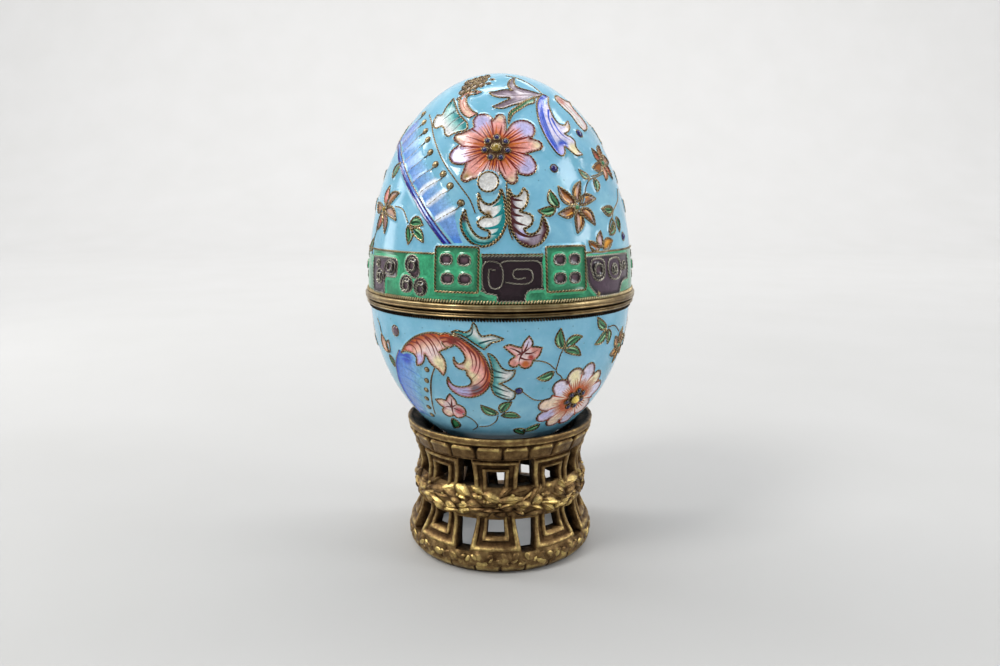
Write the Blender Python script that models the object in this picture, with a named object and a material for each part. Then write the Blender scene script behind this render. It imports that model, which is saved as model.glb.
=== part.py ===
"""An enamelled egg box that rests on a pierced cast brass stand.

Five pieces on the Z axis: the stand, the enamelled bowl with its brass rim, and the enamelled lid with
its brass rim. The origin is the centre of the stand's underside. The lid lifts straight off a low collar
that stands up inside it from the bowl's rim.
"""

import math

import bmesh
import bpy

MM = 0.001
GAP = 0.3 * MM  # left between pieces that touch

# The egg
SEAM_Z = 57.85 * MM  # the plane where the lid meets the bowl
LID_RADIUS = 29.5 * MM
LID_HEIGHT = 47.55 * MM  # from the seam to the tip
LID_FULLNESS = 2.1  # exponent of the lid's superellipse: 2 is an ellipse, more is fuller
BOWL_RADIUS = 29.1 * MM
BOWL_DEPTH = 35.4 * MM  # from the seam to the underside
BOWL_FULLNESS = 2.0
WALL = 1.2 * MM  # sheet metal with enamel on both faces

# The two brass rims
LID_RIM_RADIUS = 30.0 * MM
LID_RIM_HEIGHT = 1.4 * MM
BOWL_RIM_RADIUS = 29.7 * MM
BOWL_RIM_HEIGHT = 1.0 * MM
LID_RIM_WIDTH = 1.9 * MM
RIM_CHAMFER = 0.3 * MM
COLLAR_WALL = 0.7 * MM
COLLAR_RISE = 2.5 * MM  # above the bowl's rim
COLLAR_CLEARANCE = 0.4 * MM

# The stand
UNITS = 9  # each unit is a framed small window between two halves of a tall opening
UNIT_TURN = -2.8  # degrees from the front to the middle of the nearest small window
HALF_WINDOW = 5.8  # degrees, half the small window
POST_EDGE = 14.6  # degrees, outer edge of the post beside it
STAND_HEIGHT = 30.1 * MM
FOOT_HEIGHT = 4.8 * MM
LOWER_SILL_Z = 8.0 * MM
LOWER_HEAD_Z = 11.3 * MM
GIRDLE_TOP_Z = 18.7 * MM
UPPER_HEAD_Z = 22.1 * MM
FRIEZE_Z = 24.9 * MM
LIP_Z = 28.5 * MM
SEAT_Z = 29.2 * MM
SEAT_CLEARANCE = 0.5 * MM  # measured level, which leaves about GAP square to the sloping bowl
LEAF_RELIEF = 0.5 * MM

# Notches that part the frieze and the foot rim into blocks
BLOCKS = 22
BLOCK_TURN = 1.5  # degrees from the front to the nearest notch
NOTCH_WIDTH = 0.6 * MM
NOTCH_DEPTH = 0.5 * MM

SHELL_STEPS = 48
OUTER_RINGS = 12
INNER_RINGS = 9


def material(name, colour, roughness, metallic):
    """A Principled BSDF with plain values."""
    made = bpy.data.materials.new(name)
    made.use_nodes = True
    shader = made.node_tree.nodes["Principled BSDF"]
    shader.inputs["Base Color"].default_value = (*colour, 1.0)
    shader.inputs["Roughness"].default_value = roughness
    shader.inputs["Metallic"].default_value = metallic
    return made


def place_mesh(name, shape, finish):
    """Makes an object in the scene from a bmesh, with smooth round faces."""
    bmesh.ops.recalc_face_normals(shape, faces=shape.faces)
    mesh = bpy.data.meshes.new(name)
    shape.to_mesh(mesh)
    shape.free()
    mesh.materials.append(finish)
    mesh.shade_smooth()
    mesh.set_sharp_from_angle(angle=math.radians(30))
    made = bpy.data.objects.new(name, mesh)
    bpy.context.scene.collection.objects.link(made)
    return made


def on_circle(shape, radius, angle, z):
    """A vertex at a radius and an angle in radians, anticlockwise from +X."""
    return shape.verts.new((radius * math.cos(angle), radius * math.sin(angle), z))


def turned(name, section, steps, finish):
    """A solid of revolution about Z.

    The section is a loop of (radius, height) points. Two that follow each other on the axis close the
    solid there and get no face between them.
    """
    shape = bmesh.new()
    rings = []
    for radius, z in section:
        if radius == 0:
            rings.append([shape.verts.new((0, 0, z))] * steps)
        else:
            rings.append([on_circle(shape, radius, math.tau * i / steps, z) for i in range(steps)])
    for ring, following in zip(rings, rings[1:] + rings[:1]):
        for i in range(steps):
            j = (i + 1) % steps
            corners = dict.fromkeys([ring[i], ring[j], following[j], following[i]])
            if len(corners) > 2:
                shape.faces.new(corners)
    return place_mesh(name, shape, finish)


def dome(radius, height, fullness, rings, lowest=0.0):
    """(radius, height) points of a superellipse quarter, from its wide end to its tip on the axis.

    It starts at the height lowest above the wide end, and its points crowd towards the tip.
    """
    start = math.asin(lowest / height)
    points = []
    for i in range(rings):
        share = math.sin(start + (math.pi / 2 - start) * i / rings)
        points.append((radius * (1 - share**fullness) ** (1 / fullness), height * share))
    return points + [(0, height)]


def shell_section(radius, height, fullness, lowest):
    """Section of a dome-shaped shell of even wall, open at its wide end."""
    outer = dome(radius, height, fullness, OUTER_RINGS, lowest)
    inner = dome(radius - WALL, height - WALL, fullness, INNER_RINGS, lowest)
    return outer + inner[::-1]


def make_lid(enamel):
    """The enamelled upper half of the egg, standing on its rim."""
    lowest = GAP / 2 + LID_RIM_HEIGHT + GAP
    section = shell_section(LID_RADIUS, LID_HEIGHT, LID_FULLNESS, lowest)
    lifted = [(radius, SEAM_Z + z) for radius, z in section]
    return turned("egg_lid", lifted, SHELL_STEPS, enamel)


def make_bowl(enamel):
    """The enamelled lower half of the egg, under its rim."""
    lowest = GAP / 2 + BOWL_RIM_HEIGHT + GAP
    section = shell_section(BOWL_RADIUS, BOWL_DEPTH, BOWL_FULLNESS, lowest)
    hung = [(radius, SEAM_Z - z) for radius, z in section]
    return turned("egg_bowl", hung, SHELL_STEPS, enamel)


def make_lid_rim(brass):
    """The brass ring under the lid, with its outer edges eased."""
    outer, inner = LID_RIM_RADIUS, LID_RIM_RADIUS - LID_RIM_WIDTH
    low = SEAM_Z + GAP / 2
    high = low + LID_RIM_HEIGHT
    section = [
        (inner, low),
        (outer - RIM_CHAMFER, low),
        (outer, low + RIM_CHAMFER),
        (outer, high - RIM_CHAMFER),
        (outer - RIM_CHAMFER, high),
        (inner, high),
    ]
    return turned("lid_rim", section, SHELL_STEPS, brass)


def make_bowl_rim(brass):
    """The brass ring on the bowl, with the collar that the lid slips over."""
    outer = BOWL_RIM_RADIUS
    collar_outer = LID_RIM_RADIUS - LID_RIM_WIDTH - COLLAR_CLEARANCE
    collar_inner = collar_outer - COLLAR_WALL
    high = SEAM_Z - GAP / 2
    low = high - BOWL_RIM_HEIGHT
    section = [
        (collar_inner, low),
        (outer - RIM_CHAMFER, low),
        (outer, low + RIM_CHAMFER),
        (outer, high - RIM_CHAMFER),
        (outer - RIM_CHAMFER, high),
        (collar_outer, high),
        (collar_outer, high + COLLAR_RISE),
        (collar_inner, high + COLLAR_RISE),
    ]
    return turned("bowl_rim", section, SHELL_STEPS, brass)


def stand_levels():
    """(height, outer radius, inner radius) of the stand from its underside to its lip."""
    seat_share = (SEAM_Z - SEAT_Z) / BOWL_DEPTH
    seat_radius = BOWL_RADIUS * math.sqrt(1 - seat_share**2) + SEAT_CLEARANCE
    girdle_middle = (LOWER_HEAD_Z + GIRDLE_TOP_Z) / 2
    return [
        (0.0, 20.0 * MM, 17.5 * MM),
        (1.5 * MM, 21.2 * MM, 17.6 * MM),
        (3.0 * MM, 21.6 * MM, 17.7 * MM),
        (FOOT_HEIGHT, 21.2 * MM, 17.8 * MM),
        (LOWER_SILL_Z, 19.6 * MM, 17.2 * MM),
        (LOWER_HEAD_Z, 18.8 * MM, 16.5 * MM),
        (girdle_middle - 1.6 * MM, 19.5 * MM, 16.4 * MM),
        (girdle_middle + 1.6 * MM, 19.7 * MM, 16.4 * MM),
        (GIRDLE_TOP_Z, 19.1 * MM, 16.5 * MM),
        (UPPER_HEAD_Z, 19.0 * MM, 16.5 * MM),
        (FRIEZE_Z, 19.8 * MM, 16.8 * MM),
        (FRIEZE_Z + 0.5 * MM, 20.9 * MM, 16.9 * MM),
        (LIP_Z, 21.2 * MM, 17.3 * MM),
        (STAND_HEIGHT - 0.5 * MM, 21.4 * MM, seat_radius),
        (STAND_HEIGHT, 21.0 * MM, 20.2 * MM),
    ]


def stand_angles():
    """Angles in radians of the stand's uprights, six to a unit, and the index of each in its unit."""
    in_unit = (-POST_EDGE, -HALF_WINDOW, 0.0, HALF_WINDOW, POST_EDGE, 180 / UNITS)
    front = -90.0 + UNIT_TURN
    found = []
    for unit in range(UNITS):
        for index, offset in enumerate(in_unit):
            found.append((math.radians(front + 360 / UNITS * unit + offset), index))
    return found


def is_open(index, low, high):
    """Whether the stand is pierced between an upright and the next one, from one height to another."""
    tall = index in (4, 5)
    window = index in (1, 2)
    in_lower = low >= (FOOT_HEIGHT if tall else LOWER_SILL_Z) and high <= LOWER_HEAD_Z
    in_upper = low >= GIRDLE_TOP_Z and high <= (FRIEZE_Z if tall else UPPER_HEAD_Z)
    return (tall or window) and (in_lower or in_upper)


def make_stand(brass):
    """The cast openwork stand: one wall of revolution, pierced all round in two tiers."""
    levels, uprights = stand_levels(), stand_angles()
    columns, rows = len(uprights), len(levels)
    shape = bmesh.new()
    outer, inner = [], []
    for column, (angle, _) in enumerate(uprights):
        outer_line, inner_line = [], []
        for row, (z, outside, inside) in enumerate(levels):
            on_girdle = LOWER_HEAD_Z < z < GIRDLE_TOP_Z
            relief = LEAF_RELIEF * ((column + row) % 2) if on_girdle else 0.0
            outer_line.append(on_circle(shape, outside + relief, angle, z))
            inner_line.append(on_circle(shape, inside, angle, z))
        outer.append(outer_line)
        inner.append(inner_line)

    def solid(column, row):
        if not 0 <= row < rows - 1:
            return False
        return not is_open(uprights[column % columns][1], levels[row][0], levels[row + 1][0])

    for column in range(columns):
        after = (column + 1) % columns
        for row in range(rows):
            if solid(column, row):
                shape.faces.new([side[c][r] for side, c, r in (
                    (outer, column, row), (outer, after, row),
                    (outer, after, row + 1), (outer, column, row + 1))])
                shape.faces.new([side[c][r] for side, c, r in (
                    (inner, column, row), (inner, column, row + 1),
                    (inner, after, row + 1), (inner, after, row))])
            if solid(column, row) != solid(column, row - 1):
                shape.faces.new([outer[column][row], outer[after][row],
                                 inner[after][row], inner[column][row]])
            if row < rows - 1 and solid(column, row) != solid(column - 1, row):
                shape.faces.new([outer[column][row], outer[column][row + 1],
                                 inner[column][row + 1], inner[column][row]])
    return place_mesh("stand", shape, brass)


def make_notches(name, radius, low, high, finish):
    """A ring of slim upright blocks, hidden, for cutting notches into a band of the stand."""
    shape = bmesh.new()
    for i in range(BLOCKS):
        angle = math.radians(-90 + BLOCK_TURN) + math.tau * i / BLOCKS
        half = NOTCH_WIDTH / 2 / radius
        near, far = radius - NOTCH_DEPTH, radius + 3 * MM
        base = [on_circle(shape, r, angle + turn, low)
                for r, turn in ((near, -half), (far, -half), (far, half), (near, half))]
        top = shape.faces.new(base)
        raised = bmesh.ops.extrude_face_region(shape, geom=[top])["geom"]
        corners = [v for v in raised if isinstance(v, bmesh.types.BMVert)]
        bmesh.ops.translate(shape, verts=corners, vec=(0, 0, high - low))
    cutter = place_mesh(name, shape, finish)
    cutter.hide_render = True
    cutter.display_type = "WIRE"
    return cutter


def cut(target, cutter):
    """Adds a Boolean that takes the cutter out of the target."""
    modifier = target.modifiers.new(cutter.name, "BOOLEAN")
    modifier.operation = "DIFFERENCE"
    modifier.solver = "EXACT"
    modifier.object = cutter


def main():
    for old in list(bpy.data.objects):
        bpy.data.objects.remove(old)
    enamel = material("turquoise_enamel", (0.28, 0.60, 0.74), 0.12, 0.0)
    gilt = material("gilt_brass", (0.52, 0.42, 0.22), 0.32, 1.0)
    aged = material("aged_brass", (0.42, 0.31, 0.13), 0.38, 1.0)
    make_lid(enamel)
    make_bowl(enamel)
    make_lid_rim(gilt)
    make_bowl_rim(gilt)
    stand = make_stand(aged)
    cut(stand, make_notches("frieze_notches", 21.1 * MM, FRIEZE_Z + 0.2 * MM, LIP_Z, aged))
    cut(stand, make_notches("foot_notches", 21.2 * MM, 0.8 * MM, 3.6 * MM, aged))


main()
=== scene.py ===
"""Looks of an enamelled egg box on its pierced cast brass stand.

The egg is copper, covered with fired enamel. Twisted wires soldered to the copper part the colours,
and each field between them is filled and domed by its own enamel. Lengths in this script are in
millimetres and angles in degrees, until a mesh is made. A place on the egg is an azimuth, measured
from the front towards the right, and a height above the stand's underside.
"""

import logging
import math
from collections.abc import Callable, Iterable, Sequence
from dataclasses import dataclass, field
from enum import Enum

import bpy
import numpy as np
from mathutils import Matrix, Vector, noise
from mathutils.geometry import delaunay_2d_cdt


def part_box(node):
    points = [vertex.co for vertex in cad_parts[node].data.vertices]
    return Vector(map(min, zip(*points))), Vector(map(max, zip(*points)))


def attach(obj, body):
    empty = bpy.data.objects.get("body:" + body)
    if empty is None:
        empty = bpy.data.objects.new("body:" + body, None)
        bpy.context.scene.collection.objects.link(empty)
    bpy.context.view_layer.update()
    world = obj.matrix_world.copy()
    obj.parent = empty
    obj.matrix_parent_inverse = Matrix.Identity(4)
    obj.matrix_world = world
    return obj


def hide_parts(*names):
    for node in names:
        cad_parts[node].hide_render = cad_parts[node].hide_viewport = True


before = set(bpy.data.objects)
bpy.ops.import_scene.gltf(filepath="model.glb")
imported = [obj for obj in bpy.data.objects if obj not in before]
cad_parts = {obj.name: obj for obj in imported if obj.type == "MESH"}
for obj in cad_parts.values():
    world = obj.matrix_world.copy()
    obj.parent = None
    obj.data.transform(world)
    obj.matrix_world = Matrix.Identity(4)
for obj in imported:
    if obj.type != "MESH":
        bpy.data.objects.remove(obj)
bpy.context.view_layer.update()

LOG = logging.getLogger("egg")
BODY = "root"
METRES = 0.001  # metres in one of this script's units
ENAMEL_IOR = 1.52  # lead glass
DEGREES = 57.3  # degrees in a radian
GREEN_BAND = (58.5, 68.7)  # the heights between which the lid's ground is green
TWIST = 0.7  # a wire's crests are about 0.35 apart, and drawn at twice that so that the twist shows

Point = tuple[float, float]
Span = tuple[float, float]
Array = np.ndarray
Faces = list[list[int]]
Socket = bpy.types.NodeSocket


# ---------------------------------------------------------------------------------------- colours


def linear(hex_colour: str) -> tuple[float, float, float]:
    """Turns an sRGB colour into linear light.

    Args:
        hex_colour: the colour as "#rrggbb".

    Returns:
        Its red, green and blue in linear light.
    """
    found = []
    for start in (1, 3, 5):
        value = int(hex_colour[start:start + 2], 16) / 255
        found.append(value / 12.92 if value <= 0.04045 else ((value + 0.055) / 1.055) ** 2.4)
    return found[0], found[1], found[2]


class Glaze(Enum):
    """The enamels on the maker's tray, and one pale colour for painted highlights."""

    TURQUOISE = "#70b0c7"
    TEAL = "#1c8286"
    TEAL_DEEP = "#0d4a4c"
    TEAL_PALE = "#8fc9c4"
    PEARL = "#dcdcda"
    CREAM = "#e9dcae"
    SAND = "#ecd3b8"
    YELLOW = "#e6c85e"
    ORANGE = "#bc5f1e"
    SALMON = "#c9877a"
    PEACH = "#edbda4"
    PINK = "#e39d96"
    PINK_PALE = "#e4cac8"
    LILAC = "#bab6e2"
    LILAC_PALE = "#d8d2ea"
    MAUVE = "#75646f"
    DUSK = "#978897"
    SKY = "#85b2dc"
    BLUE = "#4a80d2"
    BLUE_SOFT = "#6f9ad6"
    # a pale blue-white used only for painted highlights on the wing
    PAINTED_HIGHLIGHT = "#dfe8f4"
    BLUE_DEEP = "#3050c4"
    PERIWINKLE = "#7a92cf"
    NAVY = "#17107a"
    MAROON = "#5c1212"
    OXBLOOD = "#782014"
    UMBER = "#4c2222"
    RED = "#a8331c"
    ROSE = "#c05560"
    PLUM = "#14090d"
    PLUM_LIGHT = "#24151c"
    DAMSON = "#4e3c4a"
    MULBERRY = "#604852"
    GREEN = "#40a879"
    GREEN_DEEP = "#0e5034"
    GREEN_MID = "#3a8761"
    LEAF = "#3f8055"
    LEAF_DEEP = "#0f3a22"
    LEAF_PALE = "#a3d0a0"
    AMBER = "#a3600a"
    AMBER_DEEP = "#421c05"
    AMBER_PALE = "#efab3a"
    CARNELIAN = "#b34a1a"
    OLIVE_GOLD = "#8e7626"
    OCHRE = "#8a6a34"
    BISTRE = "#4a2f18"
    COBALT = "#140e5c"
    INK = "#110c4a"

    @property
    def light(self) -> Array:
        """The enamel's colour in linear light."""
        return np.array(linear(self.value))


# --------------------------------------------------------------------------------- flat geometry


def smooth_curve(points: Sequence[Point], closed: bool = False, step: float = 0.28) -> Array:
    """Draws one smooth curve through points and marks it off evenly.

    Args:
        points: the points that the curve passes through, in order.
        closed: whether the curve returns to its first point.
        step: the distance between marks.

    Returns:
        The marks, one row each. A closed curve doesn't repeat its first mark.
    """
    knots = np.asarray(points, float)
    count = len(knots)
    if closed:
        knots = np.vstack([knots[-1:], knots, knots[:2]])
    else:
        knots = np.vstack([2 * knots[0] - knots[1], knots, 2 * knots[-1] - knots[-2]])
    spans = count if closed else count - 1
    gaps = np.sqrt(np.maximum(np.linalg.norm(np.diff(knots, axis=0), axis=1), 1e-6))
    drawn = []
    share = np.linspace(0, 1, 14, endpoint=False)[:, None]
    for i in range(spans):
        before, start, end, after = knots[i:i + 4]
        g0, g1, g2 = gaps[i:i + 3]
        leave = (start - before) / g0 - (end - before) / (g0 + g1) + (end - start) / g1
        arrive = (end - start) / g1 - (after - start) / (g1 + g2) + (after - end) / g2
        leave, arrive = leave * g1, arrive * g1
        s2, s3 = share**2, share**3
        drawn.append((2 * s3 - 3 * s2 + 1) * start + (s3 - 2 * s2 + share) * leave
                     + (3 * s2 - 2 * s3) * end + (s3 - s2) * arrive)
    if not closed:
        drawn.append(knots[-2:-1])
    return even_marks(np.vstack(drawn), step, closed)


def run_along(line: Array) -> Array:
    """How far along a polyline each of its points is."""
    return np.concatenate([[0], np.cumsum(np.linalg.norm(np.diff(line, axis=0), axis=1))])


def even_marks(line: Array, step: float, closed: bool = False) -> Array:
    """Marks a polyline off at even distances.

    Args:
        line: the polyline.
        step: the distance wanted between marks.
        closed: whether its last point joins its first.

    Returns:
        The marks, one row each. A closed polyline doesn't repeat its first mark.
    """
    if closed:
        line = np.vstack([line, line[:1]])
    run = run_along(line)
    count = max(int(round(run[-1] / step)), 2)
    at = np.linspace(0, run[-1], count + 1)
    if closed:
        at = at[:-1]
    return np.stack([np.interp(at, run, line[:, i]) for i in range(line.shape[1])], axis=1)


def outline(*stretches: Sequence[Point], step: float = 0.28) -> Array:
    """Closes smooth stretches into one outline, with a corner wherever two of them meet.

    Args:
        stretches: lists of points. A single one closes on itself smoothly. Otherwise each starts
            where the one before it ends.
        step: the distance between marks.

    Returns:
        The marks of the outline, anticlockwise, without repeating the first.
    """
    if len(stretches) == 1:
        marks = smooth_curve(stretches[0], closed=True, step=step)
    else:
        marks = np.vstack([smooth_curve(stretch, step=step)[:-1] for stretch in stretches])
    return marks if signed_area(marks) > 0 else marks[::-1]


def circle(count: int) -> Array:
    """Marks evenly round a circle of radius 1, anticlockwise from its right."""
    turn = np.linspace(0, math.tau, count, endpoint=False)
    return np.stack([np.cos(turn), np.sin(turn)], axis=1)


def polar(reach: float, angle: float) -> Array:
    """The point at a distance and a direction from the origin."""
    return reach * np.array([math.cos(math.radians(angle)), math.sin(math.radians(angle))])


def units(vectors: Array) -> Array:
    """Vectors of the same directions with length 1."""
    return vectors / np.maximum(np.linalg.norm(vectors, axis=1, keepdims=True), 1e-9)


def ahead_at(line: Array, closed: bool = False) -> Array:
    """The way that a line runs at each of its marks."""
    return units(np.roll(line, -1, axis=0) - np.roll(line, 1, axis=0) if closed
                 else np.gradient(line, axis=0))


def right_at(line: Array, closed: bool = False) -> Array:
    """The way to the right of a flat line at each of its marks, which is out of an outline."""
    ahead = ahead_at(line, closed)
    return np.stack([ahead[:, 1], -ahead[:, 0]], axis=1)


def signed_area(marks: Array) -> float:
    """The area inside an outline, positive if the outline runs anticlockwise."""
    x, y = marks[:, 0], marks[:, 1]
    return float(np.dot(x, np.roll(y, -1)) - np.dot(y, np.roll(x, -1))) / 2


def distance_to_line(points: Array, line: Array, closed: bool = False) -> Array:
    """The distance from each point to a polyline.

    Args:
        points: the points, one row each.
        line: the polyline's points. One row stands for a single point.
        closed: whether the last point joins the first.

    Returns:
        One distance for each point.
    """
    line = np.atleast_2d(np.asarray(line, float))
    if len(line) == 1:
        return np.linalg.norm(points - line[0], axis=1)
    starts = line if closed else line[:-1]
    ends = np.roll(line, -1, axis=0) if closed else line[1:]
    along = ends - starts
    length2 = np.maximum((along**2).sum(axis=1), 1e-12)
    offset = points[:, None, :] - starts[None]
    share = np.clip((offset * along).sum(axis=2) / length2, 0, 1)
    return np.linalg.norm(offset - share[..., None] * along, axis=2).min(axis=1)


def is_inside(points: Array, marks: Array) -> Array:
    """Whether each point lies inside an outline."""
    x, y = points[:, :1], points[:, 1:]
    x0, y0 = marks[:, 0], marks[:, 1]
    x1, y1 = np.roll(x0, -1), np.roll(y0, -1)
    spans = (y0 > y) != (y1 > y)
    drop = np.where(np.abs(y1 - y0) < 1e-9, 1e-9, y1 - y0)
    return (spans & (x < x0 + (y - y0) / drop * (x1 - x0))).sum(axis=1) % 2 == 1


def fill_field(marks: Array, spacing: float) -> tuple[Array, Array]:
    """Fills an outline with an even net of triangles.

    Args:
        marks: the outline.
        spacing: the distance between the net's knots.

    Returns:
        The knots, outline first, and the triangles as three knot numbers each.
    """
    low, high = marks.min(axis=0), marks.max(axis=0)
    row = spacing * math.sqrt(3) / 2
    grid = [(x + (k % 2) * spacing / 2, y) for k, y in enumerate(np.arange(low[1], high[1], row))
            for x in np.arange(low[0], high[0], spacing)]
    inner = np.array(grid).reshape(-1, 2)
    inner = inner[is_inside(inner, marks)]
    inner = inner[distance_to_line(inner, marks, closed=True) > spacing * 0.95]
    inset = (marks - spacing * 0.5 * right_at(marks, closed=True))[::2]
    inset = inset[distance_to_line(inset, marks, closed=True) > spacing * 0.42]
    inset = inset[is_inside(inset, marks)]
    knots = np.vstack([marks, inset, inner])
    found = delaunay_2d_cdt([Vector(k) for k in knots], [], [list(range(len(marks)))], 1, 1e-5)
    triangles = [face for face in found[2] if len(face) == 3]
    return np.array([tuple(v) for v in found[0]]), np.array(triangles, int)


def smooth_step(values: Array, low: float, high: float) -> Array:
    """Rises smoothly from 0 at low to 1 at high."""
    share = np.clip((values - low) / (high - low), 0, 1)
    return share * share * (3 - 2 * share)


def within(values: Array, *spans: Span) -> Array:
    """Whether each value lies inside one of the spans."""
    return np.any([(values > low) & (values < high) for low, high in spans], axis=0)


def wobble(points: Array, size: float, seed: float = 0.0) -> Array:
    """Smooth noise between about -1 and 1, with lumps of a given size."""
    shift = Vector((seed, seed, seed))
    return np.array([noise.noise(Vector(p) / size + shift) for p in points])


# ------------------------------------------------------------------------------- the egg's form


@dataclass(frozen=True)
class EggHalf:
    """The enamelled surface of the lid or the bowl: half a superellipse turned about the axis.

    Attributes:
        node: the solid it stands for.
        radius: its radius at the seam.
        reach: its height from the seam to its tip, negative for the bowl.
        fullness: the superellipse's exponent.
        seam: the seam's height.
    """

    node: str
    radius: float
    reach: float
    fullness: float
    seam: float

    def radius_at(self, height: Array | float) -> Array:
        """The radius at a height."""
        share = np.abs((np.asarray(height, float) - self.seam) / self.reach)
        return self.radius * np.maximum(1 - share**self.fullness, 1e-9) ** (1 / self.fullness)

    def misfit(self, points: Array) -> Array:
        """Zero on the surface, and positive outside it."""
        radius = np.hypot(points[:, 0], points[:, 1]) / self.radius
        rise = np.abs((points[:, 2] - self.seam) / self.reach)
        return radius**self.fullness + rise**self.fullness - 1

    def slope(self, points: Array) -> Array:
        """The gradient of the misfit, which points out of the egg."""
        n = self.fullness
        radius = np.hypot(points[:, 0], points[:, 1]) + 1e-9
        outward = n / self.radius * (radius / self.radius) ** (n - 1)
        rise = (points[:, 2] - self.seam) / self.reach
        upward = n / self.reach * np.abs(rise) ** (n - 1) * np.sign(rise)
        return np.stack([outward * points[:, 0] / radius, outward * points[:, 1] / radius, upward], 1)

    def normals(self, points: Array) -> Array:
        """The outward unit normals at points on the surface."""
        return units(self.slope(points))


@dataclass(frozen=True)
class Chart:
    """A flat drawing sheet held against the egg, from which a design is carried onto its surface.

    Attributes:
        half: the half of the egg.
        azimuth: the place that the sheet's origin touches.
        height: that place's height.
        mirrored: whether the design is turned over left to right.
    """

    half: EggHalf
    azimuth: float
    height: float
    mirrored: bool = False

    def lay(self, drawn: Array, proud: Array | float = 0.0) -> tuple[Array, Array]:
        """Carries drawn points onto the egg.

        Args:
            drawn: points on the sheet, one row each.
            proud: how far above the surface each ends up.

        Returns:
            The points in space, and the surface's normals there.
        """
        angle = math.radians(self.azimuth)
        radius = float(self.half.radius_at(self.height))
        origin = np.array([[radius * math.sin(angle), -radius * math.cos(angle), self.height]])
        outward = self.half.normals(origin)[0]
        east = np.array([math.cos(angle), math.sin(angle), 0.0])
        north = np.cross(outward, east)
        if self.mirrored:
            east = -east
        sheet = origin + drawn[:, :1] * east + drawn[:, 1:] * north
        depth = np.zeros(len(sheet))
        for _ in range(10):
            points = sheet + depth[:, None] * outward
            steep = np.maximum(self.half.slope(points) @ outward, 1e-3)
            depth = depth - self.half.misfit(points) / steep
        points = sheet + depth[:, None] * outward
        normals = self.half.normals(points)
        return points + normals * np.reshape(proud, (-1, 1)), normals


# --------------------------------------------------------------------------------------- meshes


class MeshStock:
    """Gathers the parts of one piece: points, faces, and a tint or a shade for each point."""

    def __init__(self) -> None:
        """Starts with nothing in it."""
        self.points: list[Array] = []
        self.faces: Faces = []
        self.tints: list[Array] = []
        self.count = 0

    def add(self, points: Array, faces: Iterable[Sequence[int]], tint: Array | float = 0.0) -> None:
        """Adds a part.

        Args:
            points: its points.
            faces: its faces, as point numbers within the part.
            tint: a colour in linear light, or one number, for all points or for each.
        """
        shift = self.count
        self.faces.extend([[int(i) + shift for i in face] for face in faces])
        self.points.append(np.asarray(points, float))
        tint = np.atleast_1d(np.asarray(tint, float))
        if tint.size == 1:
            tint = np.full(3, tint[0])
        if tint.ndim == 1 and tint.shape[0] != 3:
            tint = np.repeat(tint[:, None], 3, axis=1)
        self.tints.append(np.broadcast_to(tint, (len(points), 3)))
        self.count += len(points)

    def make(self, name: str, finish: "Finish", sharp: float = 60.0) -> bpy.types.Object | None:
        """Makes the piece's object, dressed in its finish.

        Args:
            name: the piece's name.
            finish: its finish.
            sharp: the angle between faces past which their edge stays sharp.

        Returns:
            The object, or None if nothing was gathered.
        """
        if not self.count:
            return None
        mesh = bpy.data.meshes.new(name)
        mesh.from_pydata((np.vstack(self.points) * METRES).tolist(), [], self.faces)
        tint = mesh.color_attributes.new("glaze", "FLOAT_COLOR", "POINT")
        shades = np.hstack([np.vstack(self.tints), np.ones((self.count, 1))])
        tint.data.foreach_set("color", shades.astype(np.float32).ravel())
        mesh.shade_smooth()
        mesh.set_sharp_from_angle(angle=math.radians(sharp))
        mesh.validate()
        made = bpy.data.objects.new(name, mesh)
        bpy.context.scene.collection.objects.link(made)
        made.data.materials.append(finish.material())
        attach(made, BODY)
        LOG.info("%s: %d faces", name, len(mesh.polygons))
        return made


def rows_of_faces(rows: int, columns: int, closed: bool, looped: bool = False) -> Faces:
    """The quads of a net of points.

    Args:
        rows: how many rows of points there are.
        columns: the points in each row.
        closed: whether each row's last point joins its first.
        looped: whether the last row joins the first.

    Returns:
        The quads, as point numbers counted row by row.
    """
    found = []
    for row in range(rows if looped else rows - 1):
        here, above = row * columns, (row + 1) % rows * columns
        for column in range(columns if closed else columns - 1):
            after = (column + 1) % columns
            found.append([here + column, here + after, above + after, above + column])
    return found


def reversed_faces(faces: Faces) -> Faces:
    """The same faces, turned to look the other way."""
    return [face[::-1] for face in faces]


def lathe(section: Sequence[Point], steps: int, closed: bool = False) -> tuple[Array, Faces]:
    """Turns a section about the axis.

    Args:
        section: points as radius and height, running up the outside.
        steps: how many points go round.
        closed: whether the section closes on itself.

    Returns:
        The points and the faces.
    """
    around = circle(steps)
    rings = [np.column_stack([radius * around, np.full(steps, height)]) for radius, height in section]
    return np.vstack(rings), rows_of_faces(len(section), steps, closed=True, looped=closed)


def dome_mesh(centre: Array, normal: Array, radius: float, rise: float, steps: int = 14,
              rings: int = 4) -> tuple[Array, Faces]:
    """A low round dome.

    Args:
        centre: the middle of its base.
        normal: which way it bulges.
        radius: its base's radius.
        rise: its height.
        steps: how many points go round.
        rings: how many rings of points there are below its tip.

    Returns:
        The points and the faces.
    """
    east = np.cross(normal, (0.0, 0.0, 1.0))
    east /= np.linalg.norm(east)
    north = np.cross(normal, east)
    flat = circle(steps)
    around = flat[:, :1] * east + flat[:, 1:] * north
    points = []
    for ring in range(rings):
        lift = math.pi / 2 * ring / rings
        points.append(centre + around * radius * math.cos(lift) + normal * rise * math.sin(lift))
    points.append((centre + normal * rise)[None])
    faces = rows_of_faces(rings, steps, closed=True)
    last, tip = (rings - 1) * steps, rings * steps
    faces += [[last + i, last + (i + 1) % steps, tip] for i in range(steps)]
    return np.vstack(points), faces


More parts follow.
